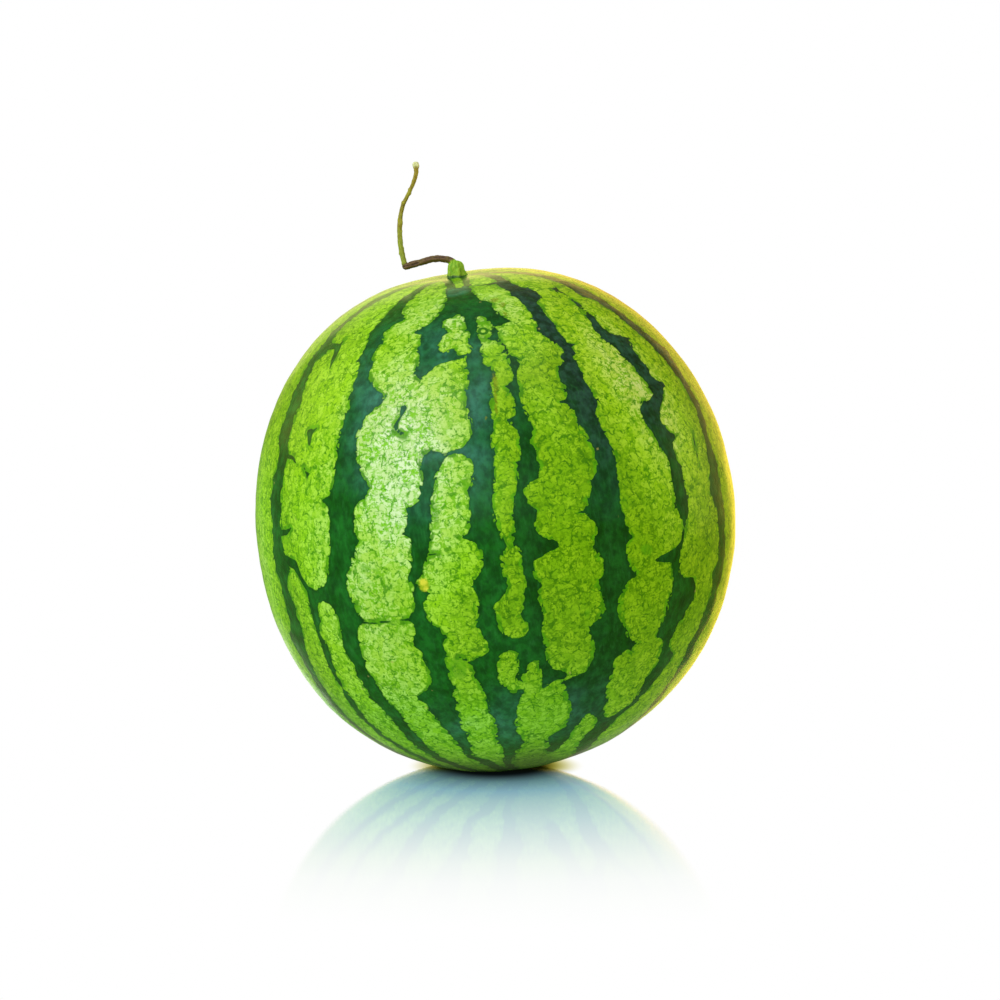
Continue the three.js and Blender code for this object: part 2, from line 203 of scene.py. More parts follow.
LIGHT_ISLANDS = [
    [(88, -24, 14), (84, -5, 10.5), (80, -2.4, 8.6), (77, -1.6, 6.6), (75.2, -1.4, 5.8), (74, 0.8, 4.8)],
    [(60.9, -0.6, 0.4), (60.2, -4, 1.4), (59.6, -7.3, 1.8), (58.4, -7.6, 2.1), (57, -7.2, 2),
     (56.2, -5.2, 1.8), (55.6, -4.6, 1.9), (55, -6.6, 2.4), (54, -7.6, 3.1), (52, -8.6, 3.1), (51, -8, 3),
     (50.7, -2.6, 2.9), (49.6, -2.6, 2.6), (48.6, -2, 2.1)],
    [(51.5, -8.4, -4.4), (50.7, -7.8, -4.9), (49.8, -6.6, -5.4)],
    [(59.2, 7, 8.8), (58.4, 6.6, 11.2), (57.3, 6.2, 11.5), (55.5, 5.8, 11.8), (53.5, 5.5, 10.8),
     (52.1, 6, 9.8), (51.9, 6.8, 9)],
    [(51.3, 6.6, 11.8), (50, 5.9, 12.9), (48, 5.8, 12.6), (46, 5.8, 13.3), (44.4, 6.3, 13.4),
     (43.3, 7.6, 12.8), (42, 9, 13), (40.5, 9.7, 12.7), (39.4, 10.6, 12)],
    [(-21, -1.2, -0.2), (-22, -3, 1.3), (-24, -3.9, 1.7), (-27, -3.9, 1.1), (-30, -3.8, 0.2),
     (-32, -2.3, 0.3), (-32.7, -1, 0)],
    [(-45, 20.4, 21.6), (-46, 18.5, 23), (-48, 17.5, 25), (-50, 16.5, 25.6), (-53, 15.4, 23.4),
     (-55, 14.3, 22.4), (-57, 12.8, 21.8), (-59, 11.8, 21.5), (-62, 10, 22)],
]
STROKES = [
    [(37.2, -19.1, 1.9), (36.4, -19.3, 1.2), (35.3, -19.8, 0.7), (34.2, -20.6, 0.8), (33.1, -21.1, 1.3),
     (32.2, -20.6, 0.9), (31.4, -19.2, 1.2), (31, -18.4, 0.7)],
    [(54.2, -62, 2.2), (54.4, -57, 1.9), (54, -55, 2.1), (51, -53, 1.7), (48.3, -52, 0.7)],
    [(54.5, -55, 1.2), (56.6, -54.5, 0.7)],
    [(27.2, -59.5, 1.3), (27, -57, 1.3), (26.6, -55.4, 1), (25.2, -53.4, 0.4)],
    [(33.1, -51.6, 1), (32.6, -50.2, 2.4), (30.2, -49.4, 1.1)],
    [(32.8, -49.6, 1.4), (33.8, -47.6, 0.7)],
    [(25, -50.4, 0.6), (23.2, -48.4, 1), (21.2, -48.3, 0.6)],
    [(24.4, -46.4, 0.4), (23.2, -48.2, 0.8)],
    [(9.4, -60, 1.9), (9.6, -57, 1.6), (10.7, -54.8, 0.8)],
    [(3, -58, 2.6), (2.2, -54.5, 2.6), (-1, -52.6, 1.5), (-4, -50, 2)],
    [(-4.6, -50, 2.6), (-4.4, -44, 2.6)],
    [(-10.6, -36, 1.2), (-11.2, -33, 0.8), (-10.9, -27, 0.6), (-10.7, -21, 0.9)],
    [(25.6, -9, 0.7), (25.5, -5, 0.4), (26.2, -2, 0.8)],
    [(3.9, -15, 0.9), (3.8, -12.8, 0.4)],
    [(-21, -12.8, 0.6), (-22, -11, 1.1)],
    [(74, 14, 0.5), (73, 20, 0.8), (72.4, 26, 1), (72.6, 32, 1.4)],
    [(28.2, 45.2, 0.3), (27.2, 48.5, 1.5)],
    [(63.6, 56, 0.4), (63.6, 61, 0.5), (62.6, 66, 0.8)],
    [(18, 62.4, 0.6), (14, 61, 0.8), (10, 60.2, 0.6)],
    [(-27.2, 31, 1.4), (-29.4, 33, 0.5)],
]
FAINT_STROKES = [
    [(53.7, 47.5, 0.2), (51.9, 45.5, 0.3), (50, 46.8, 0.3), (48.6, 48.8, 0.5)],
    [(31.2, 39.6, 0.1), (30, 42.5, 0.4), (28.4, 45, 0.8)],
    [(60.5, 6.8, 0.4), (59.6, 11.2, 0.4)],
    [(56, 19.5, 0.4), (53, 20.3, 0.3), (50, 20, 0.1), (46, 21.6, 0.2), (42, 21.2, 0)],
    [(2.6, -31.6, 0.3), (1, -30.4, 0.3)],
]
# Places where the rind between the stripes is a deeper green: (latitude, longitude, half-height,
# half-width in millimetres, strength).
SHADES = [
    (-24, -13.5, 8, 5, 0.95), (58.6, 8.6, 2.4, 4, 0.6), (52.6, 8.4, 2, 3.6, 0.8),
    (53.6, 5.8, 4, 0.8, 0.4), (12, -12.3, 5, 2, 0.7), (18, -2.8, 7, 2.5, 0.6),
    (-28.5, 1.7, 6, 2.5, 0.7), (-16, -7, 6, 4, 0.35), (-13, -25, 4, 9, 0.3), (1.5, -31, 3, 4, 0.5),
    (27, 32.8, 4, 3, 0.55), (-30.6, 18.5, 4, 4, 0.6), (-17, 28.2, 6, 2.5, 0.5), (44, -29.5, 6, 4, 0.6),
    (57, -32, 5, 4, 0.6), (52, -15.3, 4, 3, 0.6), (7, 32.4, 5, 3, 0.5), (30, -20, 3, 2, 0.3),
    (-4.6, 36.3, 4, 4.5, 0.8), (-15.6, 19.4, 3, 2.5, 0.6), (-19.5, 22.5, 2, 3, 0.7),
    (18, -4.2, 6, 2.2, 0.9), (12.5, -12, 7, 2.4, 0.9), (18.4, -15.6, 3, 1, 0.7),
    (67, -20, 8, 14, 0.3), (-3, -58.5, 4, 3, 0.7), (8, -57, 4, 4, 0.6), (9, -47, 6, 5, 0.4),
    (-25, -28, 14, 10, 0.3), (22, -35, 16, 3, 0.1), (67, -2, 9, 5, 0.6),
]
EYE = (54.3, 8.1, 1.7)  # a small dark ring: latitude, longitude and radius
# Where the rind is palest, partly its own paler tone and partly a painted sheen of the key light, and
# where a blue-green sheen is painted on the dark stripes: (latitude, longitude, half-height, half-width in
# millimetres, strength).
PALE_AND_SHEEN_REACHES = [
    (24, -20, 84, 52, 1.3), (2, -33, 150, 60, 0.74), (60, 0, 46, 70, 0.8), (30, 50, 80, 34, 0.85),
    (-40, -20, 60, 90, 0.4), (32, 19, 26, 13, 0.22), (2, -73, 80, 22, 0.55),
]
STRIPE_SHEEN_REACHES = [
    (72, -1, 7, 10, 2.6), (34, -14, 64, 50, 1.8), (-42, 0, 30, 70, 1.0), (20, 30, 40, 30, 0.5),
]
# A yellow scar and brown scratches: latitude, longitude, half-height, half-width in millimetres.
YELLOW_SCAR = (-3, -17.2, 4.2, 3.4)
BROWN_MARKS = [
    (40.5, 7.6, 6, 1.5), (36.8, 6.8, 5.5, 1.2), (33.8, 6.1, 4, 1.0), (32.4, 3.2, 1.3, 1.1),
    (64.4, 19, 2.6, 3), (62, 21.2, 2.8, 2), (58.5, 19.5, 3, 1.4), (4, -25.8, 0.8, 1.8),
]
SEED = 20

# The stripes of the side away from -Y, in degrees of longitude: wide and narrow ones by turns.
HIDDEN_SPAN, HIDDEN_COUNT, HIDDEN_ROW_STEP = (92, 268), 13, 4.0
HIDDEN_WIDE, HIDDEN_NARROW, ISLANDS_FROM_WIDTH = 7.6, 4.2, 6.4
# The rows of a light island in a wide one, all from its middle: latitude, left and right edge.
HIDDEN_ISLAND = [(7, -0.3, 0.3), (5, -1.5, 1.2), (0, -1.3, 1.7), (-5, -1.6, 1.3), (-7.5, -0.4, 0.4)]

OUTSIDE = -99.0  # a depth in millimetres that is outside every band
STRIPE_REACH, THREAD_REACH = 20.0, 9.0  # how far from an edge the depths are told apart


def smoothstep(value, low, high):
    t = np.clip((value - low) / (high - low), 0, 1)
    return t * t * (3 - 2 * t)


def lean_matrix():
    """The turn that leans the fruit's own axis, which starts along +Z."""
    c, s = math.cos(LEAN_LEFT), math.sin(-LEAN_LEFT)
    left = np.array([[c, 0, s], [0, 1, 0], [-s, 0, c]])
    c, s = math.cos(LEAN_FRONT), math.sin(LEAN_FRONT)
    return left @ np.array([[1, 0, 0], [0, c, -s], [0, s, c]])


LEAN = lean_matrix()


def rind_radius(unit):
    """Distance from the fruit's middle to the rind along unit directions in its own frame."""
    x, y, z = unit.T
    across = np.hypot(x, y)
    outline = (across / EQUATOR_RADIUS) ** FULLNESS + (np.abs(z) / HALF_LENGTH) ** FULLNESS
    lx, _, lz = (unit @ LEAN.T).T
    lobes = 1 + CHEEKS * (lx**3 - 3 * lx * lz**2) + 2 * SKEW * lx * lz
    rib = RIB_DEPTH / 2 * across**2 * np.cos(RIB_COUNT * np.arctan2(x, -y))
    from_end = HALF_LENGTH * np.arccos(np.minimum(1, np.abs(z)))

    def hollow(depth, reach):
        return depth * np.exp(-((from_end / reach) ** 2))

    stem_dip = hollow(*STEM_SHOULDER) + hollow(*STEM_BASIN)
    dip = np.where(z > 0, stem_dip, hollow(*BLOSSOM_DIMPLE))
    return outline ** (-1 / FULLNESS) * lobes + rib - dip


def rind_place(lat, lon):
    """The place on the rind, in the fruit's own frame, at a latitude and longitude."""
    la, lo = math.radians(lat), math.radians(lon)
    unit = np.array([[math.cos(la) * math.sin(lo), -math.cos(la) * math.cos(lo), math.sin(la)]])
    return (unit * rind_radius(unit)[:, None])[0]


# ---------------------------------------------------------------- stripe fields over the rind
def turned(lon):
    """A difference of longitudes as the shorter way round, in degrees."""
    return (lon + 180) % 360 - 180


def band_depth(rows, lat, lon):
    """How deep each place lies inside a band, in millimetres; negative outside."""
    rows = np.array(rows, float)[::-1]
    left = np.interp(lat, rows[:, 0], rows[:, 1])
    right = np.interp(lat, rows[:, 0], rows[:, 2])
    off = turned(lon - (left + right) / 2)
    sideways = ((right - left) / 2 - np.abs(off)) * MM_PER_DEGREE * np.cos(np.radians(lat))
    endways = np.minimum(rows[-1, 0] - lat, lat - rows[0, 0]) * MM_PER_DEGREE
    return np.minimum(sideways, endways)


def stroke_depth(points, lat, lon):
    """The same for a stroke: a chain of round-ended pieces of changing half-width."""
    best = np.full(lat.shape, OUTSIDE)
    squeeze = np.cos(np.radians(lat))
    for (la, lo, wa), (lb, lp, wb) in zip(points, points[1:]):
        px, py = (lon - lo) * squeeze * MM_PER_DEGREE, (lat - la) * MM_PER_DEGREE
        qx = (lp - lo) * squeeze * MM_PER_DEGREE
        qy = (lb - la) * MM_PER_DEGREE
        share = np.clip((px * qx + py * qy) / (qx * qx + qy * qy), 0, 1)
        away = np.hypot(px - share * qx, py - share * qy)
        best = np.maximum(best, wa + (wb - wa) * share - away)
    return best


def blob(place, lat, lon):
    """1 in the middle of an oval, 0 at its rim, negative beyond."""
    la, lo, high, wide = place[:4]
    across = turned(lon - lo) * np.cos(np.radians(lat)) * MM_PER_DEGREE / wide
    return 1 - np.hypot(across, (lat - la) * MM_PER_DEGREE / high)


def hidden_stripes(rng):
    """Bands, islands and strokes for the side away from -Y, by the same habits as the seen ones."""
    bands, islands, strokes = [], [], []
    latitudes = np.arange(88, -89, -HIDDEN_ROW_STEP)
    centres = np.linspace(*HIDDEN_SPAN, HIDDEN_COUNT) + rng.uniform(-1.5, 1.5, HIDDEN_COUNT)
    for index, centre in enumerate(centres):
        width = (HIDDEN_NARROW if index % 2 else HIDDEN_WIDE) * rng.uniform(0.85, 1.15)
        phase = rng.uniform(0, 2 * math.pi, 4)
        wander = 1.7 * np.sin(latitudes / 21 + phase[0]) + 0.9 * np.sin(latitudes / 7.3 + phase[1])
        swell = 1 + 0.28 * np.sin(latitudes / 11 + phase[2]) + 0.2 * np.sin(latitudes / 4.1 + phase[3])
        half = width / 2 * swell * (1 + 0.25 * np.abs(latitudes / 90) ** 3)
        lons = centre + wander * np.cos(np.radians(latitudes)) ** 0.5
        bands.append(list(zip(latitudes, lons - half, lons + half)))
        if width > ISLANDS_FROM_WIDTH:
            for start in rng.uniform(-55, 45, 2):
                at = float(np.interp(start, latitudes[::-1], lons[::-1]))
                islands.append([(start + up, at + a, at + b) for up, a, b in HIDDEN_ISLAND])
        for start in rng.uniform(-60, 62, 2):
            at = float(np.interp(start, latitudes[::-1], lons[::-1]))
            side = rng.choice([-1, 1])
            reach = rng.uniform(1.8, 5.5) + width / 2
            drop = rng.uniform(-3, 3)
            strokes.append([
                (start, at, 2.2), (start + drop / 2, at + side * reach * 0.6, 1.3),
                (start + drop, at + side * reach, 0.5),
            ])
    return bands, islands, strokes


def rind_fields(unit):
    """Per-place fields of the rind: depth inside the dark stripes, shades, paleness, painted sheen,
    blemishes.
    """
    lat = np.degrees(np.arcsin(np.clip(unit[:, 2], -1, 1)))
    lon = np.degrees(np.arctan2(unit[:, 0], -unit[:, 1]))
    bands, islands, strokes = hidden_stripes(np.random.default_rng(SEED))
    dark = np.full(lat.shape, OUTSIDE)
    for rows in [*BANDS.values(), *bands]:
        dark = np.maximum(dark, band_depth(rows, lat, lon))
    for rows in [*LIGHT_ISLANDS, *islands]:
        dark = np.minimum(dark, -band_depth(rows, lat, lon))
    thread = np.full(lat.shape, -THREAD_REACH)
    for points in STROKES:
        thread = np.maximum(thread, stroke_depth(points, lat, lon))
    behind = np.where(lon < -75, lon + 360, lon)  # the hidden side's longitudes run on past 180
    for points in strokes:
        thread = np.maximum(thread, stroke_depth(points, lat, behind))
    shade = np.zeros(lat.shape)
    for place in SHADES:
        shade = np.maximum(shade, place[4] * np.clip(blob(place, lat, lon) * 2.2, 0, 1))
    for points in FAINT_STROKES:
        shade = np.maximum(shade, 0.9 * np.clip(1 + stroke_depth(points, lat, lon), 0, 1))
    pale, painted_sheen = (
        np.max([place[4] * np.clip(blob(place, lat, lon), 0, 1) for place in places], axis=0)
        for places in (PALE_AND_SHEEN_REACHES, STRIPE_SHEEN_REACHES)
    )
    brown = np.max([blob(place, lat, lon) for place in BROWN_MARKS], axis=0)
    return {
        "stripe": np.clip(dark, -STRIPE_REACH, STRIPE_REACH),
        "thread": np.clip(thread, -THREAD_REACH, THREAD_REACH),
        "shade": shade,
        "pale": np.clip(pale, 0, 1),
        "painted_sheen": np.clip(painted_sheen, 0, 1),
        "greyer": smoothstep(lon, 16, 34) * smoothstep(-lon, -110, -70) * smoothstep(lat, 0, 34),
        "yellow_scar": np.clip(blob(YELLOW_SCAR, lat, lon), -1, 1),
        "brown_mark": np.clip(brown, -1, 1),
        "from_stem": HALF_LENGTH * np.radians(90 - lat),
        "from_blossom": HALF_LENGTH * np.radians(90 + lat),
    }


# ---------------------------------------------------------------- meshes
TEXTURE_INSET = 0.006  # the share of a patch's texture square that is left bare at its edges
WAVINESS = [(0.16, 26), (0.06, 9)]  # the rind's unevenness: height and wavelength in millimetres


def patch_grid():
    """Directions and texture places of the six square patches of a ball, and their quads."""
    steps = np.linspace(-1, 1, FACE_STEPS + 1)
    a, b = np.meshgrid(np.tan(steps * math.pi / 4), np.tan(steps * math.pi / 4), indexing="ij")
    u, v = np.meshgrid((steps + 1) / 2, (steps + 1) / 2, indexing="ij")
    one = np.ones_like(a)
    sides = [(one, a, b), (-one, -a, b), (-a, one, b), (a, -one, b), (a, b, one), (-a, b, -one)]
    index = np.arange((FACE_STEPS + 1) ** 2).reshape(FACE_STEPS + 1, FACE_STEPS + 1)
    quad = np.stack([index[:-1, :-1], index[1:, :-1], index[1:, 1:], index[:-1, 1:]], -1).reshape(-1, 4)
    places, textures, quads = [], [], []
    for number, side in enumerate(sides):
        places.append(np.stack(side, -1).reshape(-1, 3))
        column, row = number % 3, number // 3
        su = (column + TEXTURE_INSET + (1 - 2 * TEXTURE_INSET) * u) / 3
        sv = (row + TEXTURE_INSET + (1 - 2 * TEXTURE_INSET) * v) / 2
        textures.append(np.stack([su, sv], -1).reshape(-1, 2))
        quads.append(quad + number * len(places[0]))
    places, textures, quads = map(np.concatenate, (places, textures, quads))
    unit = places / np.linalg.norm(places, axis=1, keepdims=True)
    return unit, textures, quads


def add_object(name, data):
    """A new object in the scene."""
    obj = bpy.data.objects.new(name, data)
    bpy.context.scene.collection.objects.link(obj)
    return obj


def shade_smooth(mesh):
    mesh.polygons.foreach_set("use_smooth", np.ones(len(mesh.polygons), bool))
    mesh.update()


def add_field(obj, name, values):
    """Stores a number, or a vector, at every vertex."""
    kind, key = ("FLOAT_VECTOR", "vector") if values.ndim == 2 else ("FLOAT", "value")
    field = obj.data.attributes.new(name, kind, "POINT")
    field.data.foreach_set(key, values.astype(np.float32).ravel())


def add_texture_places(mesh, places):
    """Gives every corner of every face its place in the texture square."""
    uv = mesh.uv_layers.new(name="OFBake")
    uv.data.foreach_set("uv", places.astype(np.float32).ravel())


def column(items, name, width=1, kind=np.float32):
    """One property of every item of a mesh."""
    values = np.zeros(len(items) * width, kind)
    items.foreach_get(name, values)
    return values.reshape(-1, width) if width > 1 else values


def ripple(places, rng, wavelength, count=10):
    """Smooth seeded unevenness between about -1 and 1, with features of a wavelength."""
    total = np.zeros(len(places))
    for _ in range(count):
        wave = rng.normal(size=3)
        wave *= 2 * math.pi / wavelength / np.linalg.norm(wave) * rng.uniform(0.7, 1.4)
        total += np.sin(places @ wave + rng.uniform(0, 2 * math.pi))
    return total / math.sqrt(count * 2)


def make_fruit():
    """The rind: one closed mesh with its fields and texture places."""
    unit, textures, quads = patch_grid()
    _, first, same = np.unique(np.round(unit, 6), axis=0, return_index=True, return_inverse=True)
    same = same.ravel()
    unit, faces = unit[first], same[quads]
    rng = np.random.default_rng(SEED + 1)
    radius = rind_radius(unit)
    own = unit * radius[:, None]
    for height, wavelength in WAVINESS:
        radius = radius + height * ripple(own, rng, wavelength)
    placed = (unit * radius[:, None]) @ LEAN.T + CENTRE
    placed[:, 2] = np.maximum(placed[:, 2], 0)
    a, b, c = (placed[faces[:, k]] for k in range(3))
    if np.einsum("ij,ij->i", np.cross(b - a, c - a), a - CENTRE).mean() < 0:
        faces, quads = faces[:, ::-1], quads[:, ::-1]
    mesh = bpy.data.meshes.new("watermelon_rind")
    mesh.from_pydata((placed * MM).tolist(), [], faces.tolist())
    shade_smooth(mesh)
    fruit = add_object("watermelon_rind", mesh)
    add_texture_places(mesh, textures[quads])
    add_field(fruit, "own", own)
    for name, values in rind_fields(unit).items():
        add_field(fruit, name, values)
    return fruit


# ---------------------------------------------------------------- the stalk, in millimetres
# The same form as the frame's solid, about the stem end, with the relief of a dried stalk on it.
STEM_END = np.array([-18.140, -7.543, 225.378])
NECK_RADIUS, NECK_HEIGHT, NECK_DEPTH = 3.7, 8.4, 3.0
FLARE_HEIGHT, SPUR_REACH, SPUR_COUNT, NECK_FLUTE = 6.5, 4.4, 5, 0.05
ARCH_ROUTE = [
    (0.6, 0, 4.2), (-0.6, 0, 7.0), (-2.6, -0.1, 8.4), (-5.0, -0.3, 9.0), (-7.6, -0.6, 9.2),
    (-10.6, -1.0, 9.0), (-14.0, -1.6, 8.1), (-17.6, -2.2, 7.1), (-20.9, -2.6, 6.2),
    (-23.9, -2.7, 5.3),
]
UPRIGHT_ROUTE = [
    (-22.9, -2.7, 5.4), (-23.4, -2.3, 7.9), (-24.2, -1.5, 11.6), (-25.0, -0.4, 16.4),
    (-25.3, 0.8, 21.8), (-25.1, 1.8, 27.4), (-24.0, 2.6, 32.8), (-22.1, 3.0, 37.0),
    (-20.2, 3.3, 40.9), (-18.6, 3.7, 44.7), (-17.9, 4.2, 48.2), (-17.9, 4.6, 50.8),
    (-18.4, 4.9, 52.8),
]
# Radii by the share of the way along.
ARCH_RADII = [(0, 1.9), (0.12, 1.6), (0.3, 1.42), (0.7, 1.42), (0.9, 1.5), (0.96, 1.35), (1, 0.6)]
UPRIGHT_RADII = [
    (0, 0.7), (0.04, 1.15), (0.15, 1.15), (0.4, 1.08), (0.55, 0.88), (0.72, 0.78), (0.85, 0.92),
    (0.93, 1.0), (0.965, 1.5), (0.985, 1.45), (1, 0.8),
]
# Knots on the upright: share of the way up, angle, reach as a share, and height.
UPRIGHT_KNOTS = [
    (0.03, 2.6, 0.02, 0.3), (0.13, -0.4, 0.014, 0.35), (0.41, 2.9, 0.03, 0.25),
    (0.60, 0.2, 0.012, 0.35), (0.70, 2.8, 0.014, 0.4), (0.735, 0.1, 0.01, 0.3),
]
STALK_VOXEL = 0.19
CURVE_STEPS, ARCH_STEPS, UPRIGHT_STEPS = 60, 260, 420
NECK_RINGS, NECK_SIDES, TUBE_SIDES = 60, 90, 24
NECK_TOP = 7.2  # above it the neck rounds off
BATCH = 4000  # places that are set against a route at a time
# The texture strips of the neck, the arch and the upright: left edge and width.
STRIP_LEFT, STRIP_WIDTH = np.array([0.02, 0.32, 0.55]), np.array([0.24, 0.17, 0.13])


def neck_radius(height, around):
    """The foot's radius: fluted, with spurs that run out over the rind, and rounded at the top."""
    flare = (1 - smoothstep(height, -1, FLARE_HEIGHT)) ** 1.6
    spur = (1 + np.cos(SPUR_COUNT * around)) / 2
    fluted = NECK_RADIUS * (1 + NECK_FLUTE * np.cos(SPUR_COUNT * around))
    side = ((1 + np.cos(around - 0.6)) / 2) ** 2  # the spurs run out on the right and behind
    radius = fluted + SPUR_REACH * flare * spur * (0.1 + 0.9 * side)
    return radius * np.sqrt(np.maximum(0, 1 - (height / NECK_HEIGHT) ** 6))


class Route:
    """A centripetal curve through points, evenly spaced, with a radius and a frame at each place."""

    def __init__(self, points, radii, count):
        p = np.array(points, float)
        p = np.vstack([2 * p[0] - p[1], p, 2 * p[-1] - p[-2]])
        dense = []
        for k in range(1, len(p) - 2):
            gaps = np.linalg.norm(np.diff(p[k - 1:k + 3], axis=0), axis=1)
            knots = np.concatenate([[0], np.cumsum(gaps ** 0.5)])
            t = np.linspace(knots[1], knots[2], CURVE_STEPS, endpoint=False)[:, None]

            def between(a, b, i, j, t=t, knots=knots):
                span = knots[j] - knots[i]
                return a * (knots[j] - t) / span + b * (t - knots[i]) / span

            one, two, three = (between(p[k - 1 + i], p[k + i], i, i + 1) for i in range(3))
            dense.append(between(between(one, two, 0, 2), between(two, three, 1, 3), 1, 2))
        dense = np.vstack([*dense, p[-2]])
        length = np.concatenate([[0], np.cumsum(np.linalg.norm(np.diff(dense, axis=0), axis=1))])
        self.share = np.linspace(0, 1, count)
        along = self.share * length[-1]
        self.points = np.stack([np.interp(along, length, dense[:, k]) for k in range(3)], -1)
        self.radii = np.zeros(count)
        for (a, low), (b, high) in zip(radii, radii[1:]):
            inside = (self.share >= a) & (self.share <= b)
            self.radii[inside] = low + (high - low) * smoothstep(self.share[inside], a, b)
        tangent = np.gradient(self.points, axis=0)
        tangent /= np.linalg.norm(tangent, axis=1, keepdims=True)
        side = np.cross(tangent[0], [0, 1, 0])
        sides = []
        for direction in tangent:
            side = side - direction * (side @ direction)
            side = side / np.linalg.norm(side)
            sides.append(side)
        self.sides = np.array(sides)
        self.fronts = np.cross(tangent, self.sides)

    def tube(self, around):
        """Rings of points round the route."""
        angle = np.linspace(0, 2 * math.pi, around, endpoint=False)[None, :, None]
        ring = np.cos(angle) * self.sides[:, None] + np.sin(angle) * self.fronts[:, None]
        return self.points[:, None] + ring * self.radii[:, None, None]

    def locate(self, places):
        """For places near the route: nearest share, distance over the radius there, and angle."""
        share, distance, angle = (np.zeros(len(places)) for _ in range(3))
        for start in range(0, len(places), BATCH):
            part = slice(start, start + BATCH)
            gap = places[part, None] - self.points[None]
            reach = np.linalg.norm(gap, axis=2)
            near = np.argmin(reach, axis=1)
            pick = np.arange(len(near))
            share[part] = self.share[near]
            distance[part] = reach[pick, near] / self.radii[near]
            out = gap[pick, near]
            angle[part] = np.arctan2((out * self.fronts[near]).sum(1), (out * self.sides[near]).sum(1))
        return share, distance, angle


def ring_faces(rings, around):
    """Quads over a stack of rings, closed by a fan to one point below and one above."""
    faces = []
    for ring in range(rings - 1):
        for k in range(around):
            a, b = ring * around + k, ring * around + (k + 1) % around
            faces.append((a, b, b + around, a + around))
    low, high, last = rings * around, rings * around + 1, (rings - 1) * around
    for k in range(around):
        faces.append((low, (k + 1) % around, k))
        faces.append((high, last + k, last + (k + 1) % around))
    return faces


def make_stem():
    """The stalk: the foot, the arch and the upright joined into one closed mesh."""
    arch = Route(ARCH_ROUTE, ARCH_RADII, ARCH_STEPS)
    upright = Route(UPRIGHT_ROUTE, UPRIGHT_RADII, UPRIGHT_STEPS)
    bm = bmesh.new()
    heights = np.linspace(-NECK_DEPTH, NECK_HEIGHT - 0.01, NECK_RINGS)
    angle = np.linspace(0, 2 * math.pi, NECK_SIDES, endpoint=False)
    height, around = np.meshgrid(heights, angle, indexing="ij")
    reach = neck_radius(height, around)
    neck = np.stack([reach * np.cos(around), reach * np.sin(around), height], -1)
    shells = [(neck, (0, 0, -NECK_DEPTH), (0, 0, NECK_HEIGHT))]
    for route in (arch, upright):
        shells.append((route.tube(TUBE_SIDES), route.points[0], route.points[-1]))
    for rings, low, high in shells:
        verts = [bm.verts.new(place) for place in [*rings.reshape(-1, 3), low, high]]
        for face in ring_faces(*rings.shape[:2]):
            bm.faces.new([verts[k] for k in face])
    bmesh.ops.recalc_face_normals(bm, faces=bm.faces)
    raw = bpy.data.meshes.new("stalk_raw")
    bm.to_mesh(raw)
    bm.free()
    stem = add_object("watermelon_stalk", raw)
    remesh = stem.modifiers.new("remesh", "REMESH")
    remesh.mode, remesh.voxel_size = "VOXEL", STALK_VOXEL
    smooth = stem.modifiers.new("smooth", "SMOOTH")
    smooth.factor, smooth.iterations = 0.5, 3
    made = bpy.data.meshes.new_from_object(stem.evaluated_get(bpy.context.evaluated_depsgraph_get()))
    stem.modifiers.clear()
    stem.data = made
    made.name = "watermelon_stalk"
    bpy.data.meshes.remove(raw)
    finish_stem(stem, arch, upright)
    return stem


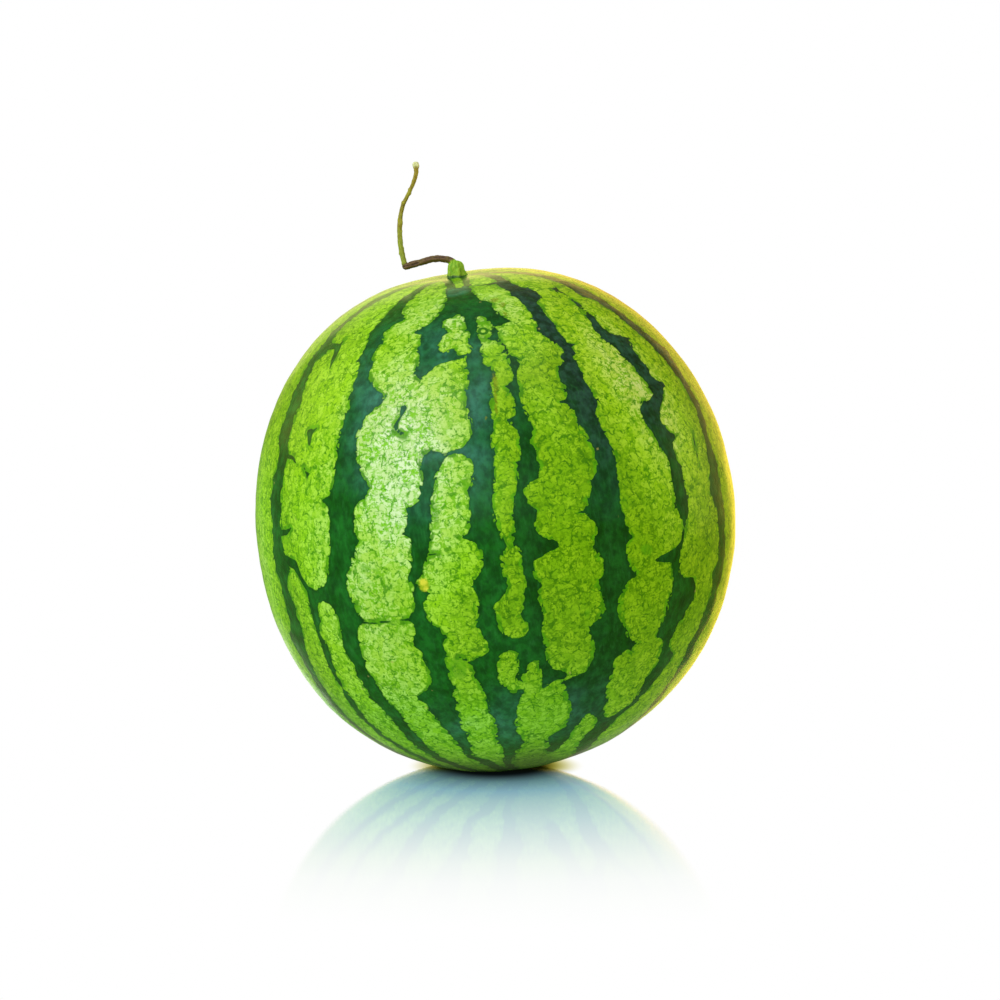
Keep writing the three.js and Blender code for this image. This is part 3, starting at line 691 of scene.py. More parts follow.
def finish_stem(stem, arch, upright):
    """Ridges, wrinkles and knots on the stalk; its fields, texture places and final position."""
    mesh = stem.data
    places = column(mesh.vertices, "co", 3).astype(float)
    normals = column(mesh.vertex_normals, "vector", 3)
    rng = np.random.default_rng(SEED + 2)

    arch_share, arch_off, arch_angle = arch.locate(places)
    up_share, up_off, up_angle = upright.locate(places)
    neck_angle = np.arctan2(places[:, 1], places[:, 0])
    neck_reach = neck_radius(np.minimum(places[:, 2], NECK_TOP), neck_angle)
    neck_off = np.hypot(places[:, 0], places[:, 1]) / np.maximum(neck_reach, 0.5)
    in_neck = smoothstep(-neck_off - 0.25 * (places[:, 2] > 7.5), -1.35, -1.05)
    in_upright = (1 - in_neck) * smoothstep(arch_off - up_off, -0.5, 0.5)
    in_arch = (1 - in_neck) * (1 - in_upright)

    uneven = ripple(places, rng, 2.2)
    fine = ripple(places, rng, 0.9, 16)
    drift = ripple(places, rng, 9)

    def ridges(angle, share, twist):
        """Five ridges that wind along a route, from -0.5 to 0.5."""
        return np.abs(np.sin(2.5 * (angle + twist * share + 0.3 * drift))) ** 0.7 - 0.5

    lift = in_arch * (0.3 * ridges(arch_angle, arch_share, 0.8) + 0.12 * uneven + 0.05 * fine)
    lift += in_upright * (0.2 * ridges(up_angle, up_share, 2.2) + 0.08 * uneven + 0.04 * fine)
    for at, angle, reach, height in UPRIGHT_KNOTS:
        facing = 0.5 + 0.5 * np.cos(up_angle - angle)
        lift += in_upright * height * np.exp(-((up_share - at) / reach) ** 2) * facing
    folds = np.sin(neck_angle * 10 + 0.8 * drift + places[:, 2] * 0.15)
    lift += in_neck * (0.13 * folds + 0.1 * uneven + 0.05 * fine)
    places = places + normals * lift[:, None]

    final = (places + STEM_END) * MM
    mesh.vertices.foreach_set("co", final.astype(np.float32).ravel())
    shade_smooth(mesh)
    add_field(stem, "own", places)
    add_field(stem, "in_neck", in_neck)
    add_field(stem, "in_upright", in_upright)
    add_field(stem, "up_share", np.where(in_upright > 0.01, up_share, 0))
    add_field(stem, "ridge", lift)

    # Texture places: the neck, the arch and the upright each unrolled into a strip of their own.
    loops = column(mesh.loops, "vertex_index", kind=np.int32)
    starts = column(mesh.polygons, "loop_start", kind=np.int32)
    totals = column(mesh.polygons, "loop_total", kind=np.int32)
    face_of = np.repeat(np.arange(len(starts)), totals)
    kind = np.argmax(np.stack([in_neck, in_arch, in_upright]), axis=0)[loops[starts]][face_of]
    angles = np.stack([neck_angle, arch_angle, up_angle])[kind, loops]
    first = angles[starts][face_of]
    turn = (angles - first + math.pi) % (2 * math.pi) - math.pi + first
    reach = np.hypot(places[:, 0], places[:, 1])
    over_top = np.maximum(0, 4.5 - reach) * (places[:, 2] > 5)
    climb = (places[:, 2] + NECK_DEPTH + over_top) / (NECK_HEIGHT + NECK_DEPTH + 6)
    along = np.stack([climb, arch_share, up_share])[kind, loops]
    u = STRIP_LEFT[kind] + STRIP_WIDTH[kind] * (0.1 + 0.8 * (turn / (2 * math.pi) + 0.5))
    v = 0.02 + 0.96 * np.clip(along, 0, 1)
    add_texture_places(mesh, np.stack([u, v], -1))


# ---------------------------------------------------------------- materials
# The rind's colours, 0 to 255 on screen, by how pale the rind is; the palest are partly painted sheen.
LIGHT_RIND = [
    (0.0, (113, 172, 8)), (0.36, (142, 206, 22)), (0.68, (169, 217, 88)), (1.0, (194, 227, 158)),
]
LIGHTER_RIND = [
    (0.0, (135, 190, 18)), (0.36, (160, 219, 54)), (0.68, (186, 228, 128)), (1.0, (208, 235, 184)),
]
FULLER_RIND = [(0.0, (84, 140, 0)), (0.36, (100, 168, 0)), (1.0, (116, 196, 16))]
DEEPER_RIND = [(0.0, (58, 118, 0)), (0.36, (60, 132, 0)), (1.0, (76, 156, 10))]
COARSE_CELL, FINE_CELL = 6.4, 3.3  # sizes in the rind's net, in millimetres
RIND_RELIEF, STALK_RELIEF = 0.00022, 0.00012  # in metres


def srgb(red, green, blue):
    """A colour given as 0 to 255 on screen, as the shader wants it."""
    def linear(value):
        value /= 255
        return value / 12.92 if value <= 0.04045 else ((value + 0.055) / 1.055) ** 2.4

    return (linear(red), linear(green), linear(blue), 1.0)


class Nodes:
    """A node tree, with short names for the few kinds of node used here."""

    def __init__(self, tree):
        self.tree = tree

    def put(self, value, socket):
        if isinstance(value, bpy.types.NodeSocket):
            self.tree.links.new(value, socket)
        else:
            socket.default_value = value

    def node(self, kind, inputs=(), **settings):
        made = self.tree.nodes.new("ShaderNode" + kind)
        for key, value in settings.items():
            setattr(made, key, value)
        for key, value in dict(inputs).items():
            self.put(value, made.inputs[key])
        return made

    def math(self, operation, a, b=0.0, c=0.0, clamp=False):
        return self.node("Math", {0: a, 1: b, 2: c}, operation=operation, use_clamp=clamp).outputs[0]

    def chain(self, operation, values):
        total = values[0]
        for value in values[1:]:
            total = self.math(operation, total, value)
        return total

    def add(self, *values):
        return self.chain("ADD", values)

    def times(self, *values):
        return self.chain("MULTIPLY", values)

    def sway(self, noise, amount, middle=0.5):
        """A noise made to swing about 0 instead of its middle."""
        return self.times(self.add(noise, -middle), amount)

    def step(self, value, low, high, bottom=0.0, top=1.0):
        """Rises smoothly from bottom to top as the value goes from low to high."""
        inputs = {"Value": value, "From Min": low, "From Max": high, "To Min": bottom, "To Max": top}
        return self.node("MapRange", inputs, interpolation_type="SMOOTHSTEP").outputs["Result"]

    def blend(self, factor, a, b, kind="MIX"):
        made = self.node("Mix", data_type="RGBA", blend_type=kind, clamp_factor=True)
        for value, socket in ((factor, 0), (a, 6), (b, 7)):
            self.put(value, made.inputs[socket])
        return made.outputs[2]

    def between(self, value, low, high, a, b):
        """One colour below low and another above high, both 0 to 255 on screen."""
        return self.blend(self.step(value, low, high), srgb(*a), srgb(*b))

    def tint(self, factor, colour, by):
        return self.blend(factor, colour, (*by, 1.0), "MULTIPLY")

    def ramp(self, value, stops):
        """A colour read off a list of (place from 0 to 1, colour)."""
        made = self.node("ValToRGB", {"Fac": value})
        marks = made.color_ramp.elements
        for mark, (at, colour) in zip(marks, (stops[0], stops[-1])):
            mark.position, mark.color = at, colour
        for at, colour in stops[1:-1]:
            marks.new(at).color = colour
        return made.outputs["Color"]

    def shades(self, value, stops):
        """The same for colours of 0 to 255 on screen."""
        return self.ramp(value, [(at, srgb(*colour)) for at, colour in stops])

    def vector(self, operation, inputs, output="Vector"):
        return self.node("VectorMath", inputs, operation=operation).outputs[output]

    def parts(self, place):
        return self.node("SeparateXYZ", {0: place}).outputs


class Finish(Nodes):
    """A material made of nodes."""

    def __init__(self, name):
        self.material = bpy.data.materials.new(name)
        self.material.use_nodes = True
        super().__init__(self.material.node_tree)
        self.surface = self.tree.nodes["Principled BSDF"]

    def field(self, name, vector=False):
        return self.node("Attribute", attribute_name=name).outputs["Vector" if vector else "Fac"]

    def noise(self, place, size, detail=2.0, roughness=0.5, output="Fac"):
        inputs = {"Vector": place, "Scale": 1 / size, "Detail": detail, "Roughness": roughness}
        return self.node("TexNoise", inputs).outputs[output]

    def cells(self, place, size, feature="F1", output="Distance"):
        """Distances in a pattern of boxy cells."""
        settings = {"feature": feature, "distance": "CHEBYCHEV"}
        return self.node("TexVoronoi", {"Vector": place, "Scale": 1 / size}, **settings).outputs[output]

    def moved(self, place, by, amount):
        """A place moved by a colour noise, up to an amount either way."""
        off = self.vector("ADD", {0: by, 1: (-0.5, -0.5, -0.5)})
        return self.vector("ADD", {0: place, 1: self.vector("SCALE", {0: off, "Scale": 2 * amount})})

    def squeezed(self, place, by):
        return self.vector("MULTIPLY", {0: place, 1: by})

    def raise_by(self, height, distance, strength=1.0):
        """Bump from a height that goes from 0 to 1, over a distance in metres."""
        bump = self.node("Bump", {"Strength": strength, "Distance": distance, "Height": height})
        self.put(bump.outputs[0], self.surface.inputs["Normal"])


def rind_finish():
    """Dark wandering stripes on light rind that is divided by a fine darker net."""
    f = Finish("rind")
    own = f.field("own", vector=True)
    broad = f.noise(own, 45, 2.0)
    middling = f.noise(own, 14, 3.0)
    small = f.noise(own, 4.5, 3.0)
    tiny = f.noise(own, 1.1, 3.0, 0.6)
    place = f.moved(own, f.noise(own, 7, 2.0, output="Color"), 1.6)
    place = f.moved(place, f.noise(own, 1.8, 2.0, output="Color"), 0.4)

    # The net that divides the light rind: coarse cells, and finer ones within them.
    coarse = f.cells(place, COARSE_CELL)
    fine = f.cells(place, FINE_CELL)
    coarse_edge = f.times(f.math("SUBTRACT", f.cells(place, COARSE_CELL, "F2"), coarse), 0.6)
    fine_edge = f.times(f.math("SUBTRACT", f.cells(place, FINE_CELL, "F2"), fine), 0.6)
    tone = f.node("SeparateColor", {0: f.cells(place, FINE_CELL, output="Color")}).outputs[0]

    # Stripe edges bulge round the cells and run out in points between them.
    calm = f.step(f.field("from_stem"), 18, 44, 0.35, 1.0)
    uneven = f.add(
        f.sway(coarse, 2.0, 0.4),
        f.sway(fine, 0.7, 0.4),
        f.sway(small, 1.4),
        f.sway(tiny, 0.2),
        f.times(f.step(coarse_edge, 0.0, 0.1, 1.0, 0.0), f.step(f.noise(own, 8, 2.0), 0.4, 0.6, 0.3, 1.2)),
        f.times(f.step(fine_edge, 0.0, 0.12, 1.0, 0.0), 0.2),
    )
    reach = f.add(f.field("stripe"), f.times(uneven, calm))
    thread = f.add(f.field("thread"), f.sway(fine, 0.4), f.sway(small, 0.8))
    reach = f.math("MAXIMUM", reach, thread)
    dark = f.step(reach, 0.05, 0.45)
    halo = f.times(f.step(reach, -2.0, -0.8), f.step(f.noise(own, 6, 2.0), 0.48, 0.54))
    rim = f.times(f.step(reach, -0.6, 0.15), 0.6)

    # Light rind: pale towards the left (partly painted sheen), covered in small fuller flecks that follow
    # the net.
    pale = f.add(f.field("pale"), f.sway(middling, 0.22))
    light, lighter = f.shades(pale, LIGHT_RIND), f.shades(pale, LIGHTER_RIND)
    light = f.blend(f.step(f.add(tone, f.sway(tiny, 0.8)), 0.2, 0.9), light, lighter)
    light = f.blend(f.step(broad, 0.4, 0.7, 0.0, 0.25), light, srgb(136, 188, 6))
    fuller, deeper = f.shades(pale, FULLER_RIND), f.shades(pale, DEEPER_RIND)
    crowd = f.step(f.noise(own, 10, 2.0), 0.35, 0.6, 0.6, 1.0)
    dashes = (f.noise(f.squeezed(place, by), 0.95, 2.0) for by in ((0.4, 0.4, 1), (1, 1, 0.4)))
    fleck = f.step(f.math("MAXIMUM", *dashes), 0.56, 0.63)
    light = f.blend(f.times(fleck, crowd, 0.85), light, fuller)
    line = f.step(f.math("DIVIDE", fine_edge, f.step(small, 0.38, 0.66, 0.04, 0.2)), 0.35, 1.0, 1.0, 0.0)
    line = f.times(line, f.step(f.noise(own, 2.4, 2.0), 0.42, 0.56))
    light = f.blend(f.times(line, crowd, 0.95), light, fuller)
    heavy = f.step(f.math("DIVIDE", coarse_edge, f.step(tiny, 0.35, 0.65, 0.02, 0.09)), 0.3, 1.0, 1.0, 0.0)
    heavy = f.times(heavy, f.step(f.noise(own, 3.1, 2.0), 0.46, 0.58))
    light = f.blend(f.times(heavy, 0.85), light, deeper)
    knot = f.times(f.step(f.noise(own, 1.6, 1.0), 0.62, 0.7), f.step(fine_edge, 0.08, 0.24, 1.0, 0.0))
    light = f.blend(f.times(knot, 0.85), light, deeper)
    light = f.blend(f.times(halo, 0.9), light, f.between(small, 0.4, 0.6, (54, 126, 2), (86, 162, 4)))
    light = f.blend(rim, light, srgb(82, 156, 6))
    shaded = f.step(f.add(f.field("shade"), f.sway(small, 1.4)), 0.2, 1.0, 0.0, 0.75)
    light = f.blend(shaded, light, f.between(small, 0.4, 0.6, (66, 140, 6), (92, 166, 8)))

    # It is cooler low on the left and a little duller towards the stem, and a warm light is painted on the
    # upper right.
    across, _, height = f.parts(own)
    low = f.times(f.step(height, -72, -42, 1.0, 0.0), f.step(across, 15, 55, 1.0, 0.0))
    light = f.tint(low, light, (0.78, 0.94, 1.4))
    light = f.tint(f.step(height, 20, 80), light, (1.02, 0.92, 1.05))
    # Painted warm light on the upper right.
    painted_warm_light = f.step(f.add(across, f.times(height, 0.5)), 55, 110)
    light = f.tint(painted_warm_light, light, (1.2, 1.01, 0.88))

    # The small dark ring.
    eye = f.vector("DISTANCE", {0: own, 1: tuple(rind_place(*EYE[:2]))}, "Value")
    eye = f.math("ABSOLUTE", f.add(eye, f.sway(tiny, 0.5), -EYE[2]))
    light = f.blend(f.step(eye, 0.5, 0.9, 0.95, 0.0), light, srgb(36, 104, 6))

    # Dark stripes: a mottled full green, blue-green where a sheen is painted on them, and greyer on the
    # upper right.
    deep = f.between(middling, 0.36, 0.64, (12, 74, 12), (20, 88, 26))
    # Painted sheen: the dark stripes turn blue-green where the light's reflection is painted on.
    teal = f.between(middling, 0.36, 0.64, (26, 90, 50), (44, 104, 82))
    deep = f.blend(f.step(f.add(f.field("painted_sheen"), f.sway(small, 0.6)), 0.0, 1.0), deep, teal)
    grey = f.between(small, 0.4, 0.6, (18, 52, 28), (38, 74, 60))
    deep = f.blend(f.step(f.field("greyer"), 0.0, 1.0), deep, grey)
    deep = f.blend(f.step(small, 0.45, 0.75, 0.0, 0.5), deep, srgb(12, 58, 20))
    # They are fuller low on the left, and less green right of the middle.
    lower_left = f.times(f.step(height, 0, 50, 1.0, 0.0), f.step(across, -10, 20, 1.0, 0.0))
    deep = f.tint(lower_left, deep, (1.04, 1.16, 0.92))
    right = f.times(f.step(across, 5, 20), f.step(across, 50, 65, 1.0, 0.0))
    deep = f.tint(right, deep, (1.0, 0.86, 0.9))
    streak = f.noise(f.squeezed(own, (1, 1, 0.16)), 1.2, 3.0)
    deep = f.blend(f.step(streak, 0.5, 0.75, 0.0, 0.3), deep, srgb(40, 104, 50))
    mottle = f.noise(f.squeezed(own, (1, 1, 0.7)), 3.4, 3.0, 0.6)
    deep = f.blend(1.0, deep, f.step(mottle, 0.32, 0.68, 0.7, 1.32), "MULTIPLY")
    deep = f.blend(f.times(f.step(reach, 1.7, 0.3), 0.55), deep, srgb(8, 60, 8))

    colour = f.blend(dark, light, deep)

    # Marks: a yellow scar, a few brown scratches, the blossom scar and small pale specks, with painted
    # shade on the rind round the stalk's foot.
    scar = f.step(f.add(f.field("yellow_scar"), f.sway(tiny, 0.8)), 0.1, 0.5)
    colour = f.blend(scar, colour, f.between(small, 0.4, 0.6, (150, 178, 20), (214, 216, 60)))
    brown = f.step(f.add(f.field("brown_mark"), f.sway(tiny, 1.6)), 0.1, 0.6)
    colour = f.blend(f.times(brown, 0.6), colour, srgb(116, 126, 14))
    from_blossom = f.add(f.field("from_blossom"), f.sway(small, 2.4))
    colour = f.blend(f.step(from_blossom, 1.6, 3.6, 1.0, 0.0), colour, srgb(120, 92, 52))
    dried = f.times(f.step(from_blossom, 3.0, 9.0, 0.6, 0.0), f.step(small, 0.4, 0.6))
    colour = f.blend(dried, colour, srgb(150, 160, 70))
    # Painted shade round the stalk's foot.
    from_stem = f.add(f.field("from_stem"), f.sway(small, 2))
    colour = f.blend(f.step(from_stem, 4.0, 5.5, 0.6, 0.0), colour, srgb(40, 92, 14))
    speck = f.step(f.cells(own, 17), 0.018, 0.036, 1.0, 0.0)
    colour = f.blend(f.times(speck, 0.45), colour, srgb(176, 168, 96))

    # Painted contact shadow: the rind's colour is darkened round the spot that it rests on, and a little
    # further out right of it.
    resting = f.node("TexCoord").outputs["Object"]
    painted_shadow_reach = f.vector("LENGTH", {0: resting}, "Value")
    right_of_rest = f.parts(resting)[0]
    nearer = f.add(f.step(right_of_rest, 0.0, 0.015), f.step(right_of_rest, 0.02, 0.032, 0.0, -1.0))
    painted_shadow_reach = f.add(painted_shadow_reach, f.times(nearer, -0.012))
    colour = f.blend(1.0, colour, f.step(painted_shadow_reach, 0.034, 0.07, 0.27, 1.0), "MULTIPLY")

    f.put(colour, f.surface.inputs["Base Color"])
    roughness = f.add(f.step(tiny, 0.3, 0.7, 0.33, 0.41), f.times(dark, -0.03), f.times(brown, 0.2))
    f.put(roughness, f.surface.inputs["Roughness"])
    f.surface.inputs["Specular IOR Level"].default_value = 0.05
    f.surface.inputs["Coat Weight"].default_value = 0.12
    f.surface.inputs["Coat Roughness"].default_value = 0.22
    relief = f.add(
        f.times(line, -0.25), f.times(heavy, -0.2), f.times(tiny, 0.35), f.times(small, 0.7),
        f.times(dark, 0.15), f.times(brown, 0.4), 0.5,
    )
    f.raise_by(relief, RIND_RELIEF, 0.55)
    return f.material


def stalk_finish():
    """Fresh green foot, a dried dark arch and an olive upright with a pale tip."""
    f = Finish("stalk")
    own = f.field("own", vector=True)
    across, _, height = f.parts(own)
    uneven = f.noise(own, 1.8, 3.0)
    broad = f.noise(own, 5, 2.0)
    fibre = f.noise(f.squeezed(own, (1, 1, 0.2)), 0.35, 2.0)
    raised = f.step(f.add(f.field("ridge"), f.sway(uneven, 0.15)), -0.15, 0.15)

    green = f.between(broad, 0.35, 0.65, (112, 170, 2), (152, 200, 16))
    green = f.blend(f.times(raised, 0.4), green, srgb(176, 212, 60))
    foot = f.between(uneven, 0.4, 0.6, (44, 84, 40), (84, 124, 60))
    green = f.blend(f.step(f.add(height, f.sway(uneven, 1.2)), 1.2, 2.2, 1.0, 0.0), green, foot)

    arch = f.blend(raised, srgb(62, 40, 26), srgb(104, 78, 48))
    arch = f.blend(f.step(broad, 0.5, 0.75, 0.0, 0.6), arch, srgb(124, 118, 30))
    underside = f.parts(f.node("NewGeometry").outputs["Normal"])[2]
    arch = f.blend(f.times(f.step(underside, -0.9, 0.1, 1.0, 0.0), 0.5), arch, srgb(120, 104, 20))

    olive = f.blend(raised, srgb(112, 108, 14), srgb(150, 152, 30))
    olive = f.blend(f.step(broad, 0.45, 0.75, 0.0, 0.6), olive, srgb(122, 84, 18))
    share = f.field("up_share")
    fresher = f.step(f.add(share, f.sway(broad, 0.1)), 0.2, 0.42, 0.55, 0.0)
    olive = f.blend(fresher, olive, srgb(138, 164, 42))
    olive = f.blend(f.step(share, 0.62, 0.9, 0.0, 0.5), olive, srgb(150, 118, 24))
    olive = f.blend(f.step(share, 0.005, 0.04, 1.0, 0.0), olive, srgb(84, 60, 20))
    tip = f.step(f.add(share, f.sway(uneven, 0.02)), 0.935, 0.965)
    olive = f.blend(tip, olive, f.blend(raised, srgb(186, 190, 110), srgb(220, 224, 166)))

    # The green ends where the arch leaves the foot's top.
    in_neck = f.step(f.add(f.field("in_neck"), f.sway(uneven, 0.6)), 0.25, 0.75)
    over = f.times(f.step(f.math("SUBTRACT", height, across), 9.4, 10.4), f.step(height, 8.2, 8.9))
    in_neck = f.times(in_neck, f.math("SUBTRACT", 1.0, over))
    colour = f.blend(in_neck, f.blend(f.field("in_upright"), arch, olive), green)
    colour = f.blend(f.step(fibre, 0.4, 0.75, 0.0, 0.3), colour, srgb(58, 52, 16))

    f.put(colour, f.surface.inputs["Base Color"])
    f.put(f.step(fibre, 0.3, 0.7, 0.5, 0.72), f.surface.inputs["Roughness"])
    f.surface.inputs["Specular IOR Level"].default_value = 0.4
    f.raise_by(f.add(f.times(fibre, 0.7), f.times(uneven, 0.3)), STALK_RELIEF, 0.8)
    return f.material


# ---------------------------------------------------------------- the studio
VIEW_DISTANCE, VIEW_ELEVATION, MM_PER_PIXEL = 1500, math.radians(6), 0.46
FRAME_PIXELS = 1000
CENTRE_PIXEL = (493.9, 517.15)  # where the fruit's middle falls in the frame
SENSOR_WIDTH = 36
# Soft panels round the fruit: name, azimuth, elevation, size in metres, watts and colour.
LIGHTS = [
    ("key", -42, 40, (1.2, 1.2), 11, (1.0, 1.0, 1.0)),
    ("top", 20, 70, (0.8, 0.8), 3.2, (1.0, 0.98, 0.9)),
    ("front", -8, 12, (1.4, 0.6), 2.4, (0.95, 1.0, 0.95)),
    ("left_edge", -115, 25, (0.9, 0.9), 5.5, (0.9, 1.0, 0.2)),
    ("right_edge", 112, 5, (0.9, 0.9), 3, (1.0, 0.85, 0.35)),
]
LIGHT_DISTANCE = 1.5
FLOOR_HALF, FLOOR_DROP = 12.0, 0.0002  # in metres
RIPPLE, RIPPLE_FINENESS = 0.006, 1e4  # the slope of the ripple in the floor's polish, and its scale
# The floor's gloss in red, green and blue at distances in metres from the middle.
GLOSS_REACH = 0.35
GLOSS_FADE = [
    (0.0, (0.97, 0.97, 0.97)), (0.037, (0.93, 0.84, 0.82)), (0.062, (0.80, 0.62, 0.53)),
    (0.085, (0.66, 0.48, 0.45)), (0.129, (0.48, 0.34, 0.31)), (0.171, (0.31, 0.22, 0.21)),
    (0.211, (0.15, 0.10, 0.12)), (0.247, (0.06, 0.04, 0.05)), (0.282, (0.02, 0.01, 0.02)),
    (0.32, (0.0, 0.0, 0.0)),
]
BLACK, WHITE = (0.0, 0.0, 0.0, 1.0), (1.0, 1.0, 1.0, 1.0)
# What the fruit gets from the floor on its left and on its right, and how much of it gloss sees.
FLOOR_LEFT, FLOOR_RIGHT = (0.86, 0.9, 0.88, 1.0), (0.98, 0.74, 0.26, 1.0)
FLOOR_IN_GLOSS = (0.42, 0.56, 0.22)
# The glow behind the fruit that gloss sees: on the left close by and further off, and on the right.
GLOW_NEAR, GLOW_FAR, GLOW_RIGHT = (3.0, 3.4, 2.2, 1.0), (0.5, 0.6, 0.3, 1.0), (5.0, 3.5, 0.4, 1.0)
# Patches of the surroundings that only gloss sees, all behind the fruit: direction, where the patch
# begins and is full (as cosines), colour and added strength.
GLOSS_PATCHES = [
    ((-0.6, 0.8, 0.1), 0.3, 0.9, (1.0, 1.0, 0.25), -0.1),
    ((0.8, 0.6, 0.0), 0.3, 0.8, (1.0, 0.8, 0.2), -0.28),
    ((-0.15, 0.97, 0.3), 0.94, 0.98, (1.0, 1.0, 0.35), 2.1),
    ((0.3, 0.95, 0.06), 0.89, 0.99, (1.0, 0.64, 0.1), 3.2),
]
PLAIN_STRENGTH = 0.5  # of the surroundings, where the camera doesn't see them


def add_camera():
    camera = add_object("camera", bpy.data.cameras.new("camera"))
    right, up = Vector((1, 0, 0)), Vector((0, math.sin(VIEW_ELEVATION), math.cos(VIEW_ELEVATION)))
    back = Vector((0, -math.cos(VIEW_ELEVATION), math.sin(VIEW_ELEVATION)))
    half = FRAME_PIXELS / 2
    shift = Vector(((half - CENTRE_PIXEL[0]), (CENTRE_PIXEL[1] - half))) * MM_PER_PIXEL
    target = Vector(CENTRE) + right * shift.x + up * shift.y
    camera.location = (target + back * VIEW_DISTANCE) * MM
    camera.rotation_euler = (math.pi / 2 - VIEW_ELEVATION, 0, 0)
    camera.data.sensor_width = SENSOR_WIDTH
    camera.data.lens = SENSOR_WIDTH * VIEW_DISTANCE / (FRAME_PIXELS * MM_PER_PIXEL)
    camera.data.clip_start, camera.data.clip_end = 0.05, 60
    bpy.context.scene.camera = camera


def add_light(name, azimuth, elevation, size, power, colour):
    """A soft panel that faces the fruit. Azimuth 0 is in front, and positive is to the right."""
    data = bpy.data.lights.new(name, "AREA")
    data.shape, data.size, data.size_y = "RECTANGLE", size[0], size[1]
    data.energy, data.color = power, colour
    light = add_object(name, data)
    a, e = math.radians(azimuth), math.radians(elevation)
    away = Vector((math.sin(a) * math.cos(e), -math.cos(a) * math.cos(e), math.sin(e)))
    light.location = Vector(CENTRE) * MM + away * LIGHT_DISTANCE
    light.rotation_euler = away.to_track_quat("Z", "Y").to_euler()


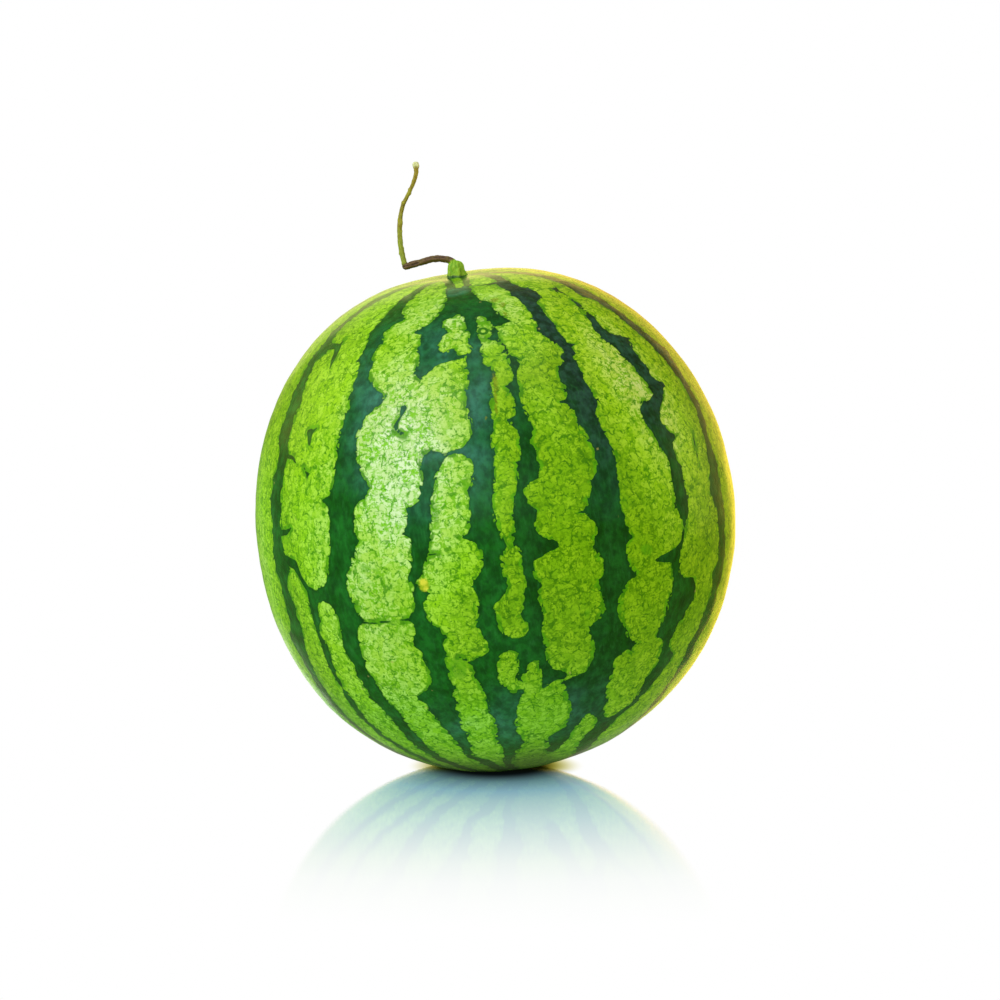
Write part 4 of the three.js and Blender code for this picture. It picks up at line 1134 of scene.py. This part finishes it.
def add_floor():
    """A pale, polished sheet. Its gloss fades out round the fruit."""
    bm = bmesh.new()
    signs = ((-1, -1), (1, -1), (1, 1), (-1, 1))
    bm.faces.new([bm.verts.new((x * FLOOR_HALF, y * FLOOR_HALF, 0)) for x, y in signs])
    mesh = bpy.data.meshes.new("floor")
    bm.to_mesh(mesh)
    bm.free()
    floor = add_object("floor", mesh)
    floor.location.z = -FLOOR_DROP
    f = Finish("floor")
    place = f.node("TexCoord").outputs["Object"]
    sideways, back, _ = f.parts(place)
    away = f.vector("LENGTH", {0: place}, "Value")
    share = f.node("MapRange", {"Value": away, "From Max": GLOSS_REACH}).outputs["Result"]
    fade = f.ramp(share, [(at / GLOSS_REACH, (*level, 1.0)) for at, level in GLOSS_FADE])
    left = f.node("Invert", {"Fac": 1.0, "Color": fade}).outputs[0]
    shadow = f.step(away, 0.0208, 0.041, 0.03, 1.0)
    # Beside and behind the fruit its own colour warms the edge of the contact shadow.
    spill = f.blend(f.step(away, 0.0245, 0.042), (1.0, 0.93, 0.1, 1.0), WHITE)
    spill = f.blend(f.step(back, -0.02, -0.006), WHITE, spill)
    # A fine ripple blurs the reflection a little.
    jitter = f.node("TexWhiteNoise", {"Vector": f.squeezed(place, (RIPPLE_FINENESS,) * 3)})
    normal = f.moved((0.0, 0.0, 1.0), jitter.outputs["Color"], RIPPLE)
    shine = f.blend(1.0, f.blend(shadow, BLACK, fade), spill, "MULTIPLY")
    gloss = f.node("BsdfGlossy", {"Color": shine, "Roughness": 0.0, "Normal": normal}).outputs[0]
    # The fruit is lit by a dimmer floor, which is warm on the right and glows behind the fruit.
    cast = f.blend(f.step(sideways, 0.02, 0.3), FLOOR_LEFT, FLOOR_RIGHT)
    path = f.node("LightPath").outputs
    seen = f.math("MAXIMUM", path["Is Camera Ray"], path["Is Singular Ray"])
    glossy = f.math("SUBTRACT", path["Is Glossy Ray"], seen)
    cast = f.blend(glossy, cast, f.tint(1.0, cast, FLOOR_IN_GLOSS))
    glow = f.blend(f.step(back, 0.16, 0.3), GLOW_NEAR, GLOW_FAR)
    glow = f.blend(f.step(sideways, -0.02, 0.06), glow, GLOW_RIGHT)
    slant = f.math("MAXIMUM", f.add(f.math("ABSOLUTE", sideways), -0.08), 0.0)
    slant = f.math("DIVIDE", slant, f.math("MAXIMUM", back, 0.01))
    behind = f.times(f.step(back, 0.035, 0.07), f.step(slant, 0.4, 0.8, 1.0, 0.0))
    cast = f.blend(f.times(glossy, behind), cast, glow)
    cast = f.blend(seen, cast, spill)
    plain = f.node("Emission", {"Color": cast, "Strength": shadow}).outputs[0]
    dimmed = f.blend(1.0, left, cast, "MULTIPLY")
    dimmed = f.node("Emission", {"Color": dimmed, "Strength": shadow}).outputs[0]
    polished = f.node("AddShader", {0: dimmed, 1: gloss}).outputs[0]
    # The polish shows at a low angle.
    grazing = f.step(f.node("LayerWeight").outputs["Facing"], 0.3, 0.85)
    mixed = f.node("MixShader", {0: grazing, 1: plain, 2: polished}).outputs[0]
    f.put(mixed, f.tree.nodes["Material Output"].inputs["Surface"])
    mesh.materials.append(f.material)


def add_surroundings():
    """White where the camera sees them, and dimmer or tinted for what lights the fruit."""
    world = bpy.data.worlds.new("studio")
    world.use_nodes = True
    bpy.context.scene.world = world
    w = Nodes(world.node_tree)
    path = w.node("LightPath").outputs
    seen = w.math("MAXIMUM", path["Is Camera Ray"], path["Is Singular Ray"])
    level = {"Value": seen, "To Min": PLAIN_STRENGTH, "To Max": 1.0}
    colour, strength = WHITE, w.node("MapRange", level).outputs["Result"]
    gloss_only = w.math("SUBTRACT", path["Is Glossy Ray"], seen, clamp=True)
    place = w.node("TexCoord").outputs["Generated"]
    for direction, low, high, tint, lift in GLOSS_PATCHES:
        towards = w.vector("DOT_PRODUCT", {0: place, 1: Vector(direction).normalized()}, "Value")
        inside = w.times(w.step(towards, low, high), gloss_only)
        colour = w.blend(inside, colour, (*tint, 1.0))
        strength = w.math("MULTIPLY_ADD", inside, lift, strength)
    background = w.tree.nodes["Background"]
    w.put(colour, background.inputs["Color"])
    w.put(strength, background.inputs["Strength"])


def plain_colours():
    """Colours are shown as they are made."""
    settings = bpy.context.scene.view_settings
    settings.view_transform, settings.look = "Standard", "None"
    settings.exposure, settings.gamma = 0, 1


add_camera()
add_surroundings()
plain_colours()
add_floor()
for light in LIGHTS:
    add_light(*light)

fruit = make_fruit()
fruit.data.materials.append(rind_finish())
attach(fruit, "root")
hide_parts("fruit")

stem = make_stem()
stem.data.materials.append(stalk_finish())
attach(stem, "root")
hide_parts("stem")
